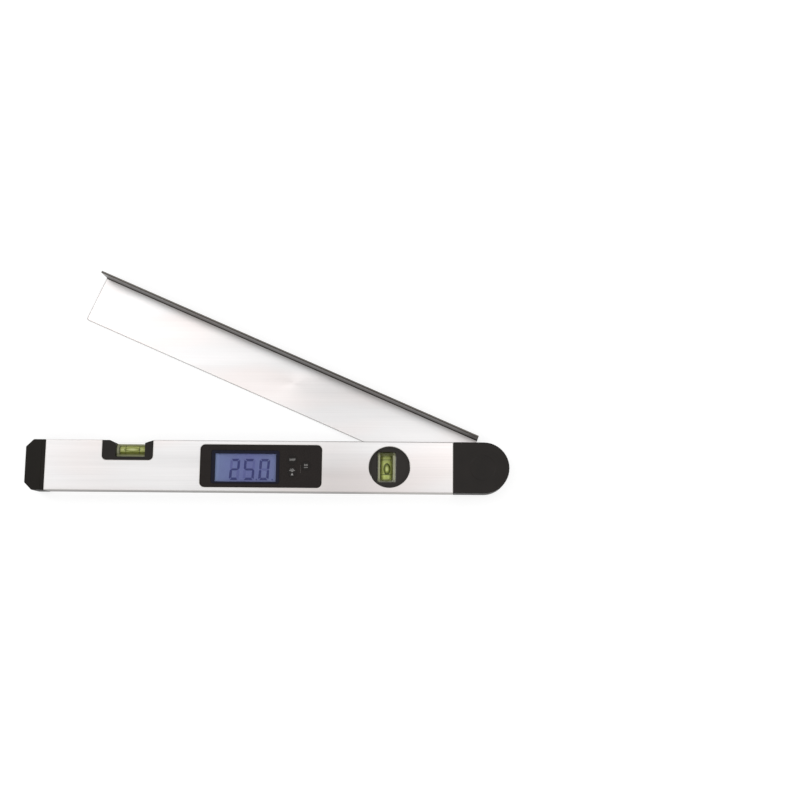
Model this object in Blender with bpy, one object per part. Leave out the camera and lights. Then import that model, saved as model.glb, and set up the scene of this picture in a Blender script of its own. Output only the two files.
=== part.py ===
"""Digital angle finder: a box-section body with a display and two spirit vials, and one swing arm.

Metres, +Z up. The tool lies on its back: the front looks up, the body runs from the pivot towards -X,
and the arm's plate lies on the floor behind the body. The origin is on the pivot axis, at the floor.
"""

import math

import bmesh
import bpy
from mathutils import Vector

# Driving dimensions, in metres
ARM_REACH = 0.3991
ARM_WALL = 0.0018
ARM_TURN_GAP = 0.0005
BODY_HEIGHT = 0.0465
BODY_DEPTH = 0.0205
BODY_WALL = 0.0018
BODY_CORNER = 0.0008
HINGE_REACH = 0.027
HINGE_BULGE = 0.001
CAP_LENGTH = 0.018
CAP_CHAMFER = 0.0068
END_CLEARANCE = 0.0006
REST_OPENING = math.radians(23.5)

# Gaps, overrun and facets
FIT = 0.0003
RUNNING_FIT = 0.00008
CUT_OVERRUN = 0.002
WELD = 0.000001
ROUND_STEPS = 48
INNER_STEPS = 28
SMALL_STEPS = 16
CORNER_STEPS = 5
SHARP_ANGLE = math.radians(35)

# Levels that every piece shares
HALF_HEIGHT = BODY_HEIGHT / 2
BACK_Z = ARM_WALL + ARM_TURN_GAP
FRONT_Z = BACK_Z + BODY_DEPTH
MID_Z = (BACK_Z + FRONT_Z) / 2
INNER_BACK_Z = BACK_Z + BODY_WALL
INNER_FRONT_Z = FRONT_Z - BODY_WALL
INNER_HALF = HALF_HEIGHT - BODY_WALL
CAP_JOINT_X = -(ARM_REACH + END_CLEARANCE)
HINGE_JOINT_X = -HINGE_REACH
SECTION_ALONG_X = (math.pi / 2, 0, math.pi / 2)
AXIS_ALONG_X = (0, math.pi / 2, 0)
AXIS_ALONG_Y = (-math.pi / 2, 0, 0)

# End cap and the plugs that hold the black ends in the tube
PLUG_LENGTH = 0.0135
PLUG_WALL = 0.0016
CAP_WALL = 0.0022
CAP_GROOVE_INSET = 0.0036
CAP_GROOVE_WIDTH = 0.0005
CAP_GROOVE_DEPTH = 0.00035
EDGE_BEVEL = 0.0005

# Display panel, its window and the stack behind it
PANEL_OFFSET = 0.01155
PANEL_LENGTH = 0.1108
PANEL_MARGIN = 0.00395
PANEL_CORNER = 0.0042
PANEL_PROUD = 0.0003
PANEL_FACE = 0.0016
PANEL_SKIRT = 0.0016
PANEL_DEPTH = 0.0092
WINDOW_LEFT_BORDER = 0.0111
WINDOW_TOP_BORDER = 0.00605
WINDOW_LOW_BORDER = 0.00435
WINDOW_CORNER = 0.0008
KEY_AREA = 0.0395
LENS_LEDGE = 0.0012
LENS_THICKNESS = 0.0008
LENS_SUNK = 0.0001
LCD_MARGIN = 0.0018
LCD_THICKNESS = 0.0026
BACKLIGHT_THICKNESS = 0.0022
BOARD_THICKNESS = 0.001
BOARD_EDGE_GAP = 0.0008
BOSS_RADIUS = 0.0022
BOSS_END_INSET = 0.0027
BOSS_SIDE_INSET = 0.0034
PANEL_X = (CAP_JOINT_X + HINGE_JOINT_X) / 2 + PANEL_OFFSET
PANEL_HEIGHT = BODY_HEIGHT - 2 * PANEL_MARGIN
PANEL_LEFT_X = PANEL_X - PANEL_LENGTH / 2
PANEL_RIGHT_X = PANEL_X + PANEL_LENGTH / 2
WINDOW_LENGTH = PANEL_LENGTH - WINDOW_LEFT_BORDER - KEY_AREA
WINDOW_HEIGHT = PANEL_HEIGHT - WINDOW_TOP_BORDER - WINDOW_LOW_BORDER
WINDOW_X = PANEL_LEFT_X + WINDOW_LEFT_BORDER + WINDOW_LENGTH / 2
WINDOW_Y = (WINDOW_LOW_BORDER - WINDOW_TOP_BORDER) / 2
PANEL_TOP_Z = FRONT_Z + PANEL_PROUD
PANEL_UNDER_Z = PANEL_TOP_Z - PANEL_FACE
LCD_TOP_Z = PANEL_UNDER_Z - FIT
LCD_LOW_Z = LCD_TOP_Z - LCD_THICKNESS
BACKLIGHT_LOW_Z = LCD_LOW_Z - FIT - BACKLIGHT_THICKNESS
BOARD_TOP_Z = BACKLIGHT_LOW_Z - FIT
BOARD_LOW_Z = BOARD_TOP_Z - BOARD_THICKNESS

# Keys and the switches under them
KEY_PAIR_INSET = 0.0267
KEY_SINGLE_INSET = 0.0143
KEY_PAIR_SPREAD = 0.0056
KEY_MIDDLE_Y = 0.0003
KEY_RADIUS = 0.0043
KEY_EDGE = 0.0001
KEY_FLANGE = 0.0006
KEY_FLANGE_THICKNESS = 0.0008
KEY_STEM_RADIUS = 0.0015
KEY_TRAVEL = 0.0005
SWITCH_SIDE = 0.006
SWITCH_HEIGHT = 0.0016
SWITCH_PIN_RADIUS = 0.0017
SWITCH_PIN_HEIGHT = 0.0006
KEY_PAIR_X = PANEL_RIGHT_X - KEY_PAIR_INSET
KEY_SINGLE_X = PANEL_RIGHT_X - KEY_SINGLE_INSET
KEY_PLACES = {
    "power": (KEY_PAIR_X, KEY_MIDDLE_Y + KEY_PAIR_SPREAD),
    "light": (KEY_PAIR_X, KEY_MIDDLE_Y - KEY_PAIR_SPREAD),
    "zero": (KEY_SINGLE_X, KEY_MIDDLE_Y),
}

# Batteries, their frame, contacts and door in the back wall
BATTERY_OFFSET = -0.017
BATTERY_LENGTH = 0.0445
BATTERY_RADIUS = 0.00515
BATTERY_NUB_RADIUS = 0.0019
BATTERY_NUB_LENGTH = 0.0009
CONTACT_THICKNESS = 0.0004
CONTACT_DOME = 0.0007
CONTACT_DOME_RADIUS = 0.0022
CONTACT_HEIGHT = 0.0066
FRAME_WALL = 0.0013
FRAME_LIP = 0.0018
FRAME_LIP_THICKNESS = 0.001
FRAME_END = 0.0062
DOOR_THICKNESS = 0.0012
DOOR_CORNER = 0.0015
DOOR_GRIP_WIDTH = 0.001
DOOR_GRIP_DEPTH = 0.0004
DOOR_GRIPS = 4
BATTERY_X = PANEL_X + BATTERY_OFFSET

# Top edge vial
NOTCH_FROM_CAP = 0.07535
NOTCH_LENGTH = 0.047
NOTCH_DEPTH = 0.01865
NOTCH_CORNER = 0.004
POCKET_LENGTH = 0.0271
POCKET_SHIFT = 0.0023
POCKET_FLOOR = 0.0029
SHOULDER_FLAT = 0.0066
HOLDER_DIP = 0.0028
TOP_VIAL_RADIUS = 0.0062
TOP_VIAL_LIFT = 0.0003
VIAL_WALL = 0.0013
VIAL_BARREL = 0.0003
VIAL_SOCKET = 0.0022
VIAL_END = 0.0022
VIAL_EDGE = 0.0005
NOTCH_X = CAP_JOINT_X + NOTCH_FROM_CAP
NOTCH_FLOOR_Y = HALF_HEIGHT - NOTCH_DEPTH
POCKET_X = NOTCH_X + POCKET_SHIFT

# Round insert with the plumb vial
INSERT_FROM_HINGE = 0.0577
INSERT_MARGIN = 0.00465
INSERT_RIM = 0.0012
INSERT_SUNK = 0.0008
BLOCK_OFFSET = -0.0029
BLOCK_SIDE_MARGIN = 0.0016
BLOCK_END_MARGIN = 0.0049
BLOCK_DEPTH = 0.0148
BLOCK_CORNER = 0.0012
BLOCK_BORE_RADIUS = 0.0059
BLOCK_END = 0.002
INSERT_X = HINGE_JOINT_X - INSERT_FROM_HINGE
INSERT_RADIUS = HALF_HEIGHT - INSERT_MARGIN
BLOCK_X = INSERT_X + BLOCK_OFFSET
BLOCK_WIDTH = INSERT_RADIUS - BLOCK_SIDE_MARGIN
BLOCK_LENGTH = 2 * (INSERT_RADIUS - BLOCK_END_MARGIN)

# Hinge housing and cover
HOUSING_WALL = 0.0022
HOUSING_TOP_Z = INNER_FRONT_Z - FIT
COVER_UNDER_Z = INNER_FRONT_Z
COVER_BEVEL = 0.0007
COVER_LIP = 0.0012
COVER_LIP_DEPTH = 0.0016
DISH_RADIUS = 0.012
DISH_SLOPE = 0.0012
DISH_DEPTH = 0.0003
POST_RADIUS = 0.0029
POST_RING_INSET = 0.00495
POST_ANGLE = math.radians(60)
POST_LEFT_INSET = 0.00625
POST_SIDE_INSET = 0.00465
POST_SPLIT_Z = 0.0142
COVER_SCREW_RADIUS = 0.0011
COVER_SCREW_HEAD = 0.0022
COVER_SCREW_SINK = 0.0012
COVER_SCREW_BITE = 0.0045
POST_RING = HALF_HEIGHT - POST_RING_INSET
POST_LEFT_X = HINGE_JOINT_X + POST_LEFT_INSET
POST_SIDE_Y = HALF_HEIGHT - POST_SIDE_INSET

# Pivot, from the floor up
SPIGOT_RADIUS = 0.0046
HUB_RADIUS = 0.011
HUB_THICKNESS = 0.0022
HUB_BOSS_WALL = 0.0018
HUB_BOSS_LENGTH = 0.0036
SHAFT_RADIUS = 0.0042
BUSH_WALL = 0.0013
BUSH_FLANGE_RADIUS = 0.0085
BUSH_FLANGE_THICKNESS = 0.001
WAVE_RADIUS = 0.008
WAVE_THICKNESS = 0.0005
WAVE_LIFT = 0.0008
WAVE_COUNT = 3
WASHER_RADIUS = 0.0078
WASHER_THICKNESS = 0.0008
NUT_ACROSS_FLATS = 0.013
NUT_THICKNESS = 0.003
SHAFT_SHOW = 0.0002
TIP_RADIUS = 0.0025
TIP_FLAT_SHARE = 0.6
ENCODER_THICKNESS = 0.0012
ENCODER_POST_GAP = 0.0004
ENCODER_SIDE_GAP = 0.0015
ENCODER_LEFT_INSET = 0.0052
ENCODER_BORE = 0.0054
ENCODER_SCREW_LEFT = 0.003
ENCODER_SCREW_SIDE = 0.0032
ENCODER_POST_RADIUS = 0.0026
ROTOR_AIR = 0.0006
ROTOR_INSET = 0.0005
ROTOR_THICKNESS = 0.001
ROTOR_SLOTS = 12
ROTOR_SLOT_INSET = 0.003
ROTOR_SLOT_SIZE = 0.0012
CLIP_RADIUS = 0.0048
CLIP_THICKNESS = 0.0006
ENCODER_RADIUS = POST_RING - POST_RADIUS - ENCODER_POST_GAP
ENCODER_HALF = POST_SIDE_Y - POST_RADIUS - ENCODER_SIDE_GAP
ENCODER_LEFT_X = HINGE_JOINT_X + ENCODER_LEFT_INSET
ENCODER_POST_X = ENCODER_LEFT_X + ENCODER_SCREW_LEFT
ENCODER_POST_Y = ENCODER_HALF - ENCODER_SCREW_SIDE
ROTOR_RADIUS = ENCODER_RADIUS - ROTOR_INSET
ROTOR_SLOT_RADIUS = ROTOR_RADIUS - ROTOR_SLOT_INSET
HUB_LOW_Z = ARM_WALL + FIT
HUB_TOP_Z = HUB_LOW_Z + HUB_THICKNESS
BUSH_LOW_Z = HUB_TOP_Z + FIT
BOSS_TOP_Z = BUSH_LOW_Z + HUB_BOSS_LENGTH
BUSH_TOP_Z = BOSS_TOP_Z + FIT + BUSH_FLANGE_THICKNESS
WAVE_LOW_Z = BUSH_TOP_Z + FIT
WASHER_LOW_Z = WAVE_LOW_Z + WAVE_LIFT + WAVE_THICKNESS + FIT
NUT_LOW_Z = WASHER_LOW_Z + WASHER_THICKNESS + FIT
SHAFT_TOP_Z = NUT_LOW_Z + NUT_THICKNESS + SHAFT_SHOW
ENCODER_LOW_Z = SHAFT_TOP_Z + FIT
ENCODER_TOP_Z = ENCODER_LOW_Z + ENCODER_THICKNESS
ROTOR_LOW_Z = ENCODER_TOP_Z + ROTOR_AIR
CLIP_LOW_Z = ROTOR_LOW_Z + ROTOR_THICKNESS + FIT
TIP_TOP_Z = CLIP_LOW_Z + CLIP_THICKNESS + SHAFT_SHOW

# Arm
HEAD_INSET = 0.00175
FREE_EDGE_INSET = 0.00265
FLANGE_START = 0.0148
ARM_FILLET = 0.0005
ARM_EDGE_ROUND = 0.0003
ARM_CORNER = 0.002
ARM_SCREW_RING = 0.0085
ARM_SCREW_RADIUS = 0.00125
ARM_SCREW_HEAD = 0.0025
ARM_SCREW_SINK = 0.0013
ARM_SCREW_COUNT = 3
HEAD_RADIUS = HALF_HEIGHT - HEAD_INSET
ARM_EDGE = HALF_HEIGHT - FREE_EDGE_INSET
FLANGE_INNER = HALF_HEIGHT + FIT
FLANGE_OUTER = FLANGE_INNER + ARM_WALL

# Small screws for the boards and the battery door
SCREW_RADIUS = 0.0008
SCREW_HEAD = 0.0017
SCREW_HEAD_HEIGHT = 0.0009
SCREW_LENGTH = 0.0038

# Cable from the display board to the encoder board
CABLE_RADIUS = 0.0008
CABLE_PLUG = 0.0032
CABLE_PLUG_DEPTH = 0.002
CABLE_STEPS = 6
CABLE_SIDE_Y = -(INNER_HALF + INSERT_RADIUS) / 2


def clear_scene():
    for item in list(bpy.data.objects):
        bpy.data.objects.remove(item, do_unlink=True)


# Materials, by the name that the builders below use
FINISHES = {
    "aluminium": ((0.86, 0.86, 0.86), 0.32, 1.0),
    "black_plastic": ((0.022, 0.021, 0.02), 0.42, 0.0),
    "black_gloss": ((0.012, 0.011, 0.011), 0.12, 0.0),
    "clear_plastic": ((0.9, 0.93, 0.92), 0.05, 0.0),
    "green_vial": ((0.42, 0.5, 0.12), 0.08, 0.0),
    "lcd_blue": ((0.16, 0.19, 0.48), 0.2, 0.0),
    "white_plastic": ((0.85, 0.86, 0.86), 0.4, 0.0),
    "board_green": ((0.03, 0.17, 0.07), 0.45, 0.0),
    "steel": ((0.56, 0.56, 0.57), 0.3, 1.0),
    "spring_steel": ((0.38, 0.38, 0.4), 0.35, 1.0),
    "brass": ((0.66, 0.5, 0.22), 0.3, 1.0),
    "bronze": ((0.5, 0.33, 0.16), 0.42, 1.0),
    "battery_wrap": ((0.05, 0.06, 0.07), 0.35, 0.0),
    "cable_grey": ((0.3, 0.3, 0.31), 0.5, 0.0),
}


def material(name):
    """The named Principled material, made the first time it is asked for."""
    found = bpy.data.materials.get(name)
    if found:
        return found
    colour, roughness, metallic = FINISHES[name]
    made = bpy.data.materials.new(name)
    made.use_nodes = True
    shader = made.node_tree.nodes["Principled BSDF"]
    shader.inputs["Base Color"].default_value = (*colour, 1.0)
    shader.inputs["Roughness"].default_value = roughness
    shader.inputs["Metallic"].default_value = metallic
    made.diffuse_color = (*colour, 1.0)
    return made


# Outlines, counter-clockwise in their own plane
def rectangle(x_low, x_high, y_low, y_high):
    return [(x_low, y_low), (x_high, y_low), (x_high, y_high), (x_low, y_high)]


def arc(centre, radius, start, end, steps):
    """Points on an arc from the start angle to the end angle, in degrees, both ends included."""
    angles = [math.radians(start + (end - start) * step / steps) for step in range(steps + 1)]
    return [(centre[0] + radius * math.cos(a), centre[1] + radius * math.sin(a)) for a in angles]


def rounded(x_low, x_high, y_low, y_high, radius, steps=CORNER_STEPS):
    """A rectangle with round corners."""
    corners = [
        ((x_high - radius, y_low + radius), -90),
        ((x_high - radius, y_high - radius), 0),
        ((x_low + radius, y_high - radius), 90),
        ((x_low + radius, y_low + radius), 180),
    ]
    points = []
    for centre, start in corners:
        points += arc(centre, radius, start, start + 90, steps)
    return points


def circle(radius, steps=ROUND_STEPS, centre=(0, 0)):
    return arc(centre, radius, 0, 360 - 360 / steps, steps - 1)


def d_outline(left_x, inset=0):
    """The hinge's outline: straight sides from the left, and half a circle just past the pivot."""
    radius = HALF_HEIGHT - inset
    return [(left_x, radius), (left_x, -radius)] + arc((HINGE_BULGE, 0), radius, -90, 90, ROUND_STEPS // 2)


# Solids, each added to a bmesh
def add_prism(mesh, outline, low, high):
    """A closed prism over an outline in XY."""
    face = mesh.faces.new([mesh.verts.new((x, y, low)) for x, y in outline])
    top = bmesh.ops.extrude_face_region(mesh, geom=[face])["geom"]
    moved = [item for item in top if isinstance(item, bmesh.types.BMVert)]
    bmesh.ops.translate(mesh, verts=moved, vec=(0, 0, high - low))


def add_ring_prism(mesh, outer, inner, low, high):
    """A prism with a hole right through, from two outlines with as many points as each other."""
    loops = [[mesh.verts.new((x, y, z)) for x, y in line] for line in (outer, inner) for z in (low, high)]
    outer_low, outer_high, inner_low, inner_high = loops
    count = len(outer)
    for i in range(count):
        j = (i + 1) % count
        mesh.faces.new((outer_low[i], outer_low[j], outer_high[j], outer_high[i]))
        mesh.faces.new((inner_low[j], inner_low[i], inner_high[i], inner_high[j]))
        mesh.faces.new((outer_high[i], outer_high[j], inner_high[j], inner_high[i]))
        mesh.faces.new((outer_low[j], outer_low[i], inner_low[i], inner_low[j]))


def add_turned(mesh, profile, steps=SMALL_STEPS, centre=(0, 0)):
    """A turned solid about a line along Z, from an open profile on the axis or a closed one off it."""
    line = [mesh.verts.new((centre[0] + radius, centre[1], z)) for radius, z in profile]
    edges = [mesh.edges.new(pair) for pair in zip(line, line[1:])]
    if profile[0][0] > 0:
        edges.append(mesh.edges.new((line[-1], line[0])))
    turn = {"cent": (*centre, 0), "axis": (0, 0, 1), "angle": 2 * math.pi, "steps": steps}
    bmesh.ops.spin(mesh, geom=line + edges, use_merge=True, **turn)
    bmesh.ops.remove_doubles(mesh, verts=mesh.verts, dist=WELD)


def cylinder(radius, low, high):
    return [(0, low), (radius, low), (radius, high), (0, high)]


def tube(outer, inner, low, high):
    return [(inner, low), (outer, low), (outer, high), (inner, high)]


# Objects
def make_object(name, mesh, parent=None, location=(0, 0, 0), rotation=(0, 0, 0)):
    """Turns a bmesh into an object with outward faces, placed in the world or under a parent."""
    bmesh.ops.recalc_face_normals(mesh, faces=mesh.faces)
    data = bpy.data.meshes.new(name)
    mesh.to_mesh(data)
    mesh.free()
    made = bpy.data.objects.new(name, data)
    bpy.context.scene.collection.objects.link(made)
    made.location = location
    made.rotation_euler = rotation
    made.parent = parent
    return made


def piece(name, finish, mesh, parent=None, location=(0, 0, 0), rotation=(0, 0, 0)):
    """A real piece of the tool."""
    made = make_object(name, mesh, parent, location, rotation)
    made.data.materials.append(material(finish))
    made.data.shade_smooth()
    made.data.set_sharp_from_angle(angle=SHARP_ANGLE)
    return made


def helper(name, mesh, parent=None, location=(0, 0, 0), rotation=(0, 0, 0)):
    """A solid that only cuts or extends another."""
    made = make_object(name, mesh, parent, location, rotation)
    made.hide_render = True
    made.display_type = "WIRE"
    return made


def combine(target, other, operation):
    modifier = target.modifiers.new(other.name, "BOOLEAN")
    modifier.operation = operation
    modifier.solver = "EXACT"
    modifier.object = other


def cut(target, other):
    combine(target, other, "DIFFERENCE")


def fuse(target, other):
    combine(target, other, "UNION")


def bevel(target, width, segments=2):
    """Breaks the sharp edges that the object has so far."""
    modifier = target.modifiers.new("edge", "BEVEL")
    modifier.width = width
    modifier.segments = segments
    modifier.limit_method = "ANGLE"
    modifier.angle_limit = SHARP_ANGLE
    modifier.use_clamp_overlap = True


def solid(*adders):
    """A bmesh holding what each adder puts into it."""
    mesh = bmesh.new()
    for adder in adders:
        adder(mesh)
    return mesh


def prism(outline, low, high):
    return lambda mesh: add_prism(mesh, outline, low, high)


def turned(profile, steps=SMALL_STEPS, centre=(0, 0)):
    return lambda mesh: add_turned(mesh, profile, steps, centre)


def ring_prism(outer, inner, low, high):
    return lambda mesh: add_ring_prism(mesh, outer, inner, low, high)


# Body
def section(inset):
    """The body's section in Y and Z, drawn in by an inset."""
    radius = max(BODY_CORNER - inset, FIT)
    return rounded(
        -HALF_HEIGHT + inset, HALF_HEIGHT - inset, BACK_Z + inset, FRONT_Z - inset, radius, steps=3
    )


def notch_outline(inset, top):
    """The notch in the top edge, open upwards, with round bottom corners."""
    left = NOTCH_X - NOTCH_LENGTH / 2 + inset
    right = NOTCH_X + NOTCH_LENGTH / 2 - inset
    floor = NOTCH_FLOOR_Y + inset
    radius = NOTCH_CORNER - inset
    points = arc((left + radius, floor + radius), radius, 180, 270, CORNER_STEPS)
    points += arc((right - radius, floor + radius), radius, -90, 0, CORNER_STEPS)
    return points + top


def build_body():
    body = piece(
        "body_extrusion",
        "aluminium",
        solid(ring_prism(section(0), section(BODY_WALL), CAP_JOINT_X, HINGE_JOINT_X)),
        rotation=SECTION_ALONG_X,
    )
    above_front = FRONT_Z + CUT_OVERRUN
    below_back = BACK_Z - CUT_OVERRUN
    above_top = HALF_HEIGHT + CUT_OVERRUN
    notch_top = [(NOTCH_X + NOTCH_LENGTH / 2, above_top), (NOTCH_X - NOTCH_LENGTH / 2, above_top)]
    opening = solid(prism(panel_outline(-FIT), INNER_FRONT_Z - CUT_OVERRUN, above_front))
    cut(body, helper("panel_opening", opening))
    opening = solid(prism(door_outline(-FIT), below_back, INNER_BACK_Z + CUT_OVERRUN))
    cut(body, helper("door_opening", opening))
    cut(body, helper("notch", solid(prism(notch_outline(0, notch_top), below_back, above_front))))
    hole = circle(INSERT_RADIUS + FIT, centre=(INSERT_X, 0))
    cut(body, helper("insert_hole", solid(prism(hole, below_back, above_front))))


def plug_section(inset):
    """The plug that fills the tube's end, in Y and Z."""
    draw = FIT + inset
    return rectangle(-INNER_HALF + draw, INNER_HALF - draw, INNER_BACK_Z + draw, INNER_FRONT_Z - draw)


def build_end_cap():
    """The black end: full depth, so that it carries the free end and stops the arm's end from showing."""
    joint = CAP_JOINT_X - FIT
    far = joint - CAP_LENGTH
    outline = [
        (joint, HALF_HEIGHT),
        (far + CAP_CHAMFER, HALF_HEIGHT),
        (far, HALF_HEIGHT - CAP_CHAMFER),
        (far, -HALF_HEIGHT + CAP_CHAMFER),
        (far + CAP_CHAMFER, -HALF_HEIGHT),
        (joint, -HALF_HEIGHT),
    ]
    cap = piece("end_cap", "black_plastic", solid(prism(outline, 0, FRONT_Z)))
    bevel(cap, EDGE_BEVEL)
    plug = solid(prism(plug_section(0), joint - CAP_WALL, joint + PLUG_LENGTH))
    fuse(cap, helper("cap_plug", plug, rotation=SECTION_ALONG_X))
    hollow = solid(prism(plug_section(PLUG_WALL), far + CAP_CHAMFER, joint + PLUG_LENGTH + CUT_OVERRUN))
    cut(cap, helper("cap_hollow", hollow, rotation=SECTION_ALONG_X))
    outer = rectangle(-BODY_HEIGHT, BODY_HEIGHT, -BODY_DEPTH, FRONT_Z + BODY_DEPTH)
    sunk = CAP_GROOVE_DEPTH
    inner = rectangle(-HALF_HEIGHT + sunk, HALF_HEIGHT - sunk, sunk, FRONT_Z - sunk)
    start = joint - CAP_GROOVE_INSET
    groove = solid(ring_prism(outer, inner, start, start + CAP_GROOVE_WIDTH))
    cut(cap, helper("cap_groove", groove, rotation=SECTION_ALONG_X))


# Display
def panel_outline(inset):
    half_x = PANEL_LENGTH / 2 - inset
    half_y = PANEL_HEIGHT / 2 - inset
    return rounded(PANEL_X - half_x, PANEL_X + half_x, -half_y, half_y, PANEL_CORNER - inset)


def window_outline(grow):
    half_x = WINDOW_LENGTH / 2 + grow
    half_y = WINDOW_HEIGHT / 2 + grow
    x_low, x_high = WINDOW_X - half_x, WINDOW_X + half_x
    return rounded(x_low, x_high, WINDOW_Y - half_y, WINDOW_Y + half_y, WINDOW_CORNER + grow, steps=3)


def boss_places():
    """The four bosses that the display board is screwed to."""
    dx = PANEL_LENGTH / 2 - PANEL_SKIRT - BOSS_END_INSET
    dy = PANEL_HEIGHT / 2 - PANEL_SKIRT - BOSS_SIDE_INSET
    return [(PANEL_X + sx * dx, sy * dy) for sx in (-1, 1) for sy in (-1, 1)]


def build_display_panel():
    """A black tray set in the front: face, skirt, bosses, a ledged window and three key holes."""
    low = PANEL_TOP_Z - PANEL_DEPTH
    panel = piece("display_panel", "black_gloss", solid(prism(panel_outline(0), low, PANEL_TOP_Z)))
    bevel(panel, EDGE_BEVEL)
    hollow = solid(prism(panel_outline(PANEL_SKIRT), low - CUT_OVERRUN, PANEL_UNDER_Z))
    cut(panel, helper("panel_hollow", hollow))
    for number, place in enumerate(boss_places(), start=1):
        boss = solid(prism(circle(BOSS_RADIUS, SMALL_STEPS, place), BOARD_TOP_Z + FIT, PANEL_UNDER_Z + FIT))
        fuse(panel, helper(f"panel_boss_{number}", boss))
    key_hole = KEY_RADIUS + RUNNING_FIT
    holes = solid(
        prism(window_outline(0), PANEL_UNDER_Z - CUT_OVERRUN, PANEL_TOP_Z + CUT_OVERRUN),
        *[
            prism(circle(key_hole, ROUND_STEPS, place), PANEL_UNDER_Z - FIT, PANEL_TOP_Z + CUT_OVERRUN)
            for place in KEY_PLACES.values()
        ],
        *[
            prism(circle(SCREW_RADIUS + FIT, SMALL_STEPS, place), low - CUT_OVERRUN, PANEL_UNDER_Z - FIT)
            for place in boss_places()
        ],
    )
    cut(panel, helper("panel_holes", holes))
    lens_low = PANEL_TOP_Z - LENS_SUNK - LENS_THICKNESS
    ledge = solid(prism(window_outline(LENS_LEDGE), lens_low - FIT, PANEL_TOP_Z + CUT_OVERRUN))
    cut(panel, helper("window_ledge", ledge))
    lens = solid(prism(window_outline(LENS_LEDGE - FIT), lens_low, PANEL_TOP_Z - LENS_SUNK))
    piece("display_lens", "clear_plastic", lens)


def build_lcd():
    glass = solid(prism(window_outline(LCD_MARGIN), LCD_LOW_Z, LCD_TOP_Z))
    piece("lcd_module", "lcd_blue", glass)
    light = solid(prism(window_outline(LCD_MARGIN), BACKLIGHT_LOW_Z, BACKLIGHT_LOW_Z + BACKLIGHT_THICKNESS))
    piece("lcd_backlight", "white_plastic", light)


def board_outline(inset):
    half_x = PANEL_LENGTH / 2 - PANEL_SKIRT - inset
    half_y = PANEL_HEIGHT / 2 - PANEL_SKIRT - inset
    return rounded(PANEL_X - half_x, PANEL_X + half_x, -half_y, half_y, PANEL_CORNER - PANEL_SKIRT)


def board_plug_place():
    """Where the cable's plug sits under the display board, at its end towards the hinge."""
    return PANEL_X + PANEL_LENGTH / 2 - PANEL_SKIRT - BOARD_EDGE_GAP - CABLE_PLUG


def build_display_board():
    plate = solid(prism(board_outline(BOARD_EDGE_GAP), BOARD_LOW_Z, BOARD_TOP_Z))
    board = piece("display_board", "board_green", plate)
    plug_x = board_plug_place()
    plug = rectangle(plug_x - CABLE_PLUG / 2, plug_x + CABLE_PLUG / 2, -CABLE_PLUG, CABLE_PLUG)
    fuse(board, helper("board_plug", solid(prism(plug, BOARD_LOW_Z - CABLE_PLUG_DEPTH, BOARD_LOW_Z + FIT))))
    low = BOARD_LOW_Z - CUT_OVERRUN
    high = BOARD_TOP_Z + CUT_OVERRUN
    holes = [prism(circle(SCREW_RADIUS + FIT, SMALL_STEPS, place), low, high) for place in boss_places()]
    cut(board, helper("board_holes", solid(*holes)))
    for number, (x, y) in enumerate(boss_places(), start=1):
        head_low = BOARD_LOW_Z - FIT - SCREW_HEAD_HEIGHT
        small_screw(f"board_screw_{number}", (x, y, head_low))


def small_screw(name, location, flipped=False):
    """A pan-head screw whose shank points up from its head, or down if flipped."""
    profile = [
        (0, 0),
        (SCREW_HEAD - SCREW_HEAD_HEIGHT / 3, 0),
        (SCREW_HEAD, SCREW_HEAD_HEIGHT / 3),
        (SCREW_HEAD, SCREW_HEAD_HEIGHT),
        (SCREW_RADIUS, SCREW_HEAD_HEIGHT),
        (SCREW_RADIUS, SCREW_HEAD_HEIGHT + SCREW_LENGTH),
        (0, SCREW_HEAD_HEIGHT + SCREW_LENGTH),
    ]
    rotation = (math.pi, 0, 0) if flipped else (0, 0, 0)
    return piece(name, "steel", solid(turned(profile, SMALL_STEPS)), location=location, rotation=rotation)


def build_keys():
    """Three flush keys, each on a switch: the origin is on the key's own axis."""
    switch_low = BOARD_TOP_Z + FIT
    pin_top = switch_low + SWITCH_HEIGHT + SWITCH_PIN_HEIGHT
    flange_top = PANEL_UNDER_Z - FIT
    flange_low = flange_top - KEY_FLANGE_THICKNESS
    stem_low = pin_top + KEY_TRAVEL + FIT
    top = PANEL_TOP_Z
    profile = [
        (0, stem_low),
        (KEY_STEM_RADIUS, stem_low),
        (KEY_STEM_RADIUS, flange_low),
        (KEY_RADIUS + KEY_FLANGE, flange_low),
        (KEY_RADIUS + KEY_FLANGE, flange_top),
        (KEY_RADIUS, flange_top),
        (KEY_RADIUS, top - KEY_EDGE),
        (KEY_RADIUS - KEY_EDGE, top),
        (0, top),
    ]
    half = SWITCH_SIDE / 2
    for name, (x, y) in KEY_PLACES.items():
        piece(f"key_{name}", "black_gloss", solid(turned(profile, ROUND_STEPS // 2)), location=(x, y, 0))
        case = solid(prism(rectangle(-half, half, -half, half), switch_low, switch_low + SWITCH_HEIGHT))
        switch = piece(f"switch_{name}", "steel", case, location=(x, y, 0))
        pin = solid(turned(cylinder(SWITCH_PIN_RADIUS, switch_low + FIT, pin_top)))
        fuse(switch, helper(f"switch_pin_{name}", pin, location=(x, y, 0)))


# Batteries
def frame_length():
    """The frame's room for a battery, its contacts and their domes."""
    contact = CONTACT_THICKNESS + CONTACT_DOME
    return BATTERY_LENGTH + BATTERY_NUB_LENGTH + 2 * (contact + 2 * FIT)


def frame_half_width():
    return 2 * BATTERY_RADIUS + 2 * FIT


def door_span():
    """The battery door's left and right edge: the frame's room, its left wall and its screw end."""
    left = BATTERY_X - frame_length() / 2 - FRAME_WALL
    right = BATTERY_X + frame_length() / 2 + FRAME_END
    return left, right


def door_outline(inset):
    left, right = door_span()
    half = frame_half_width() + FRAME_WALL - inset
    return rounded(left + inset, right - inset, -half, half, DOOR_CORNER - inset, steps=3)


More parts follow.
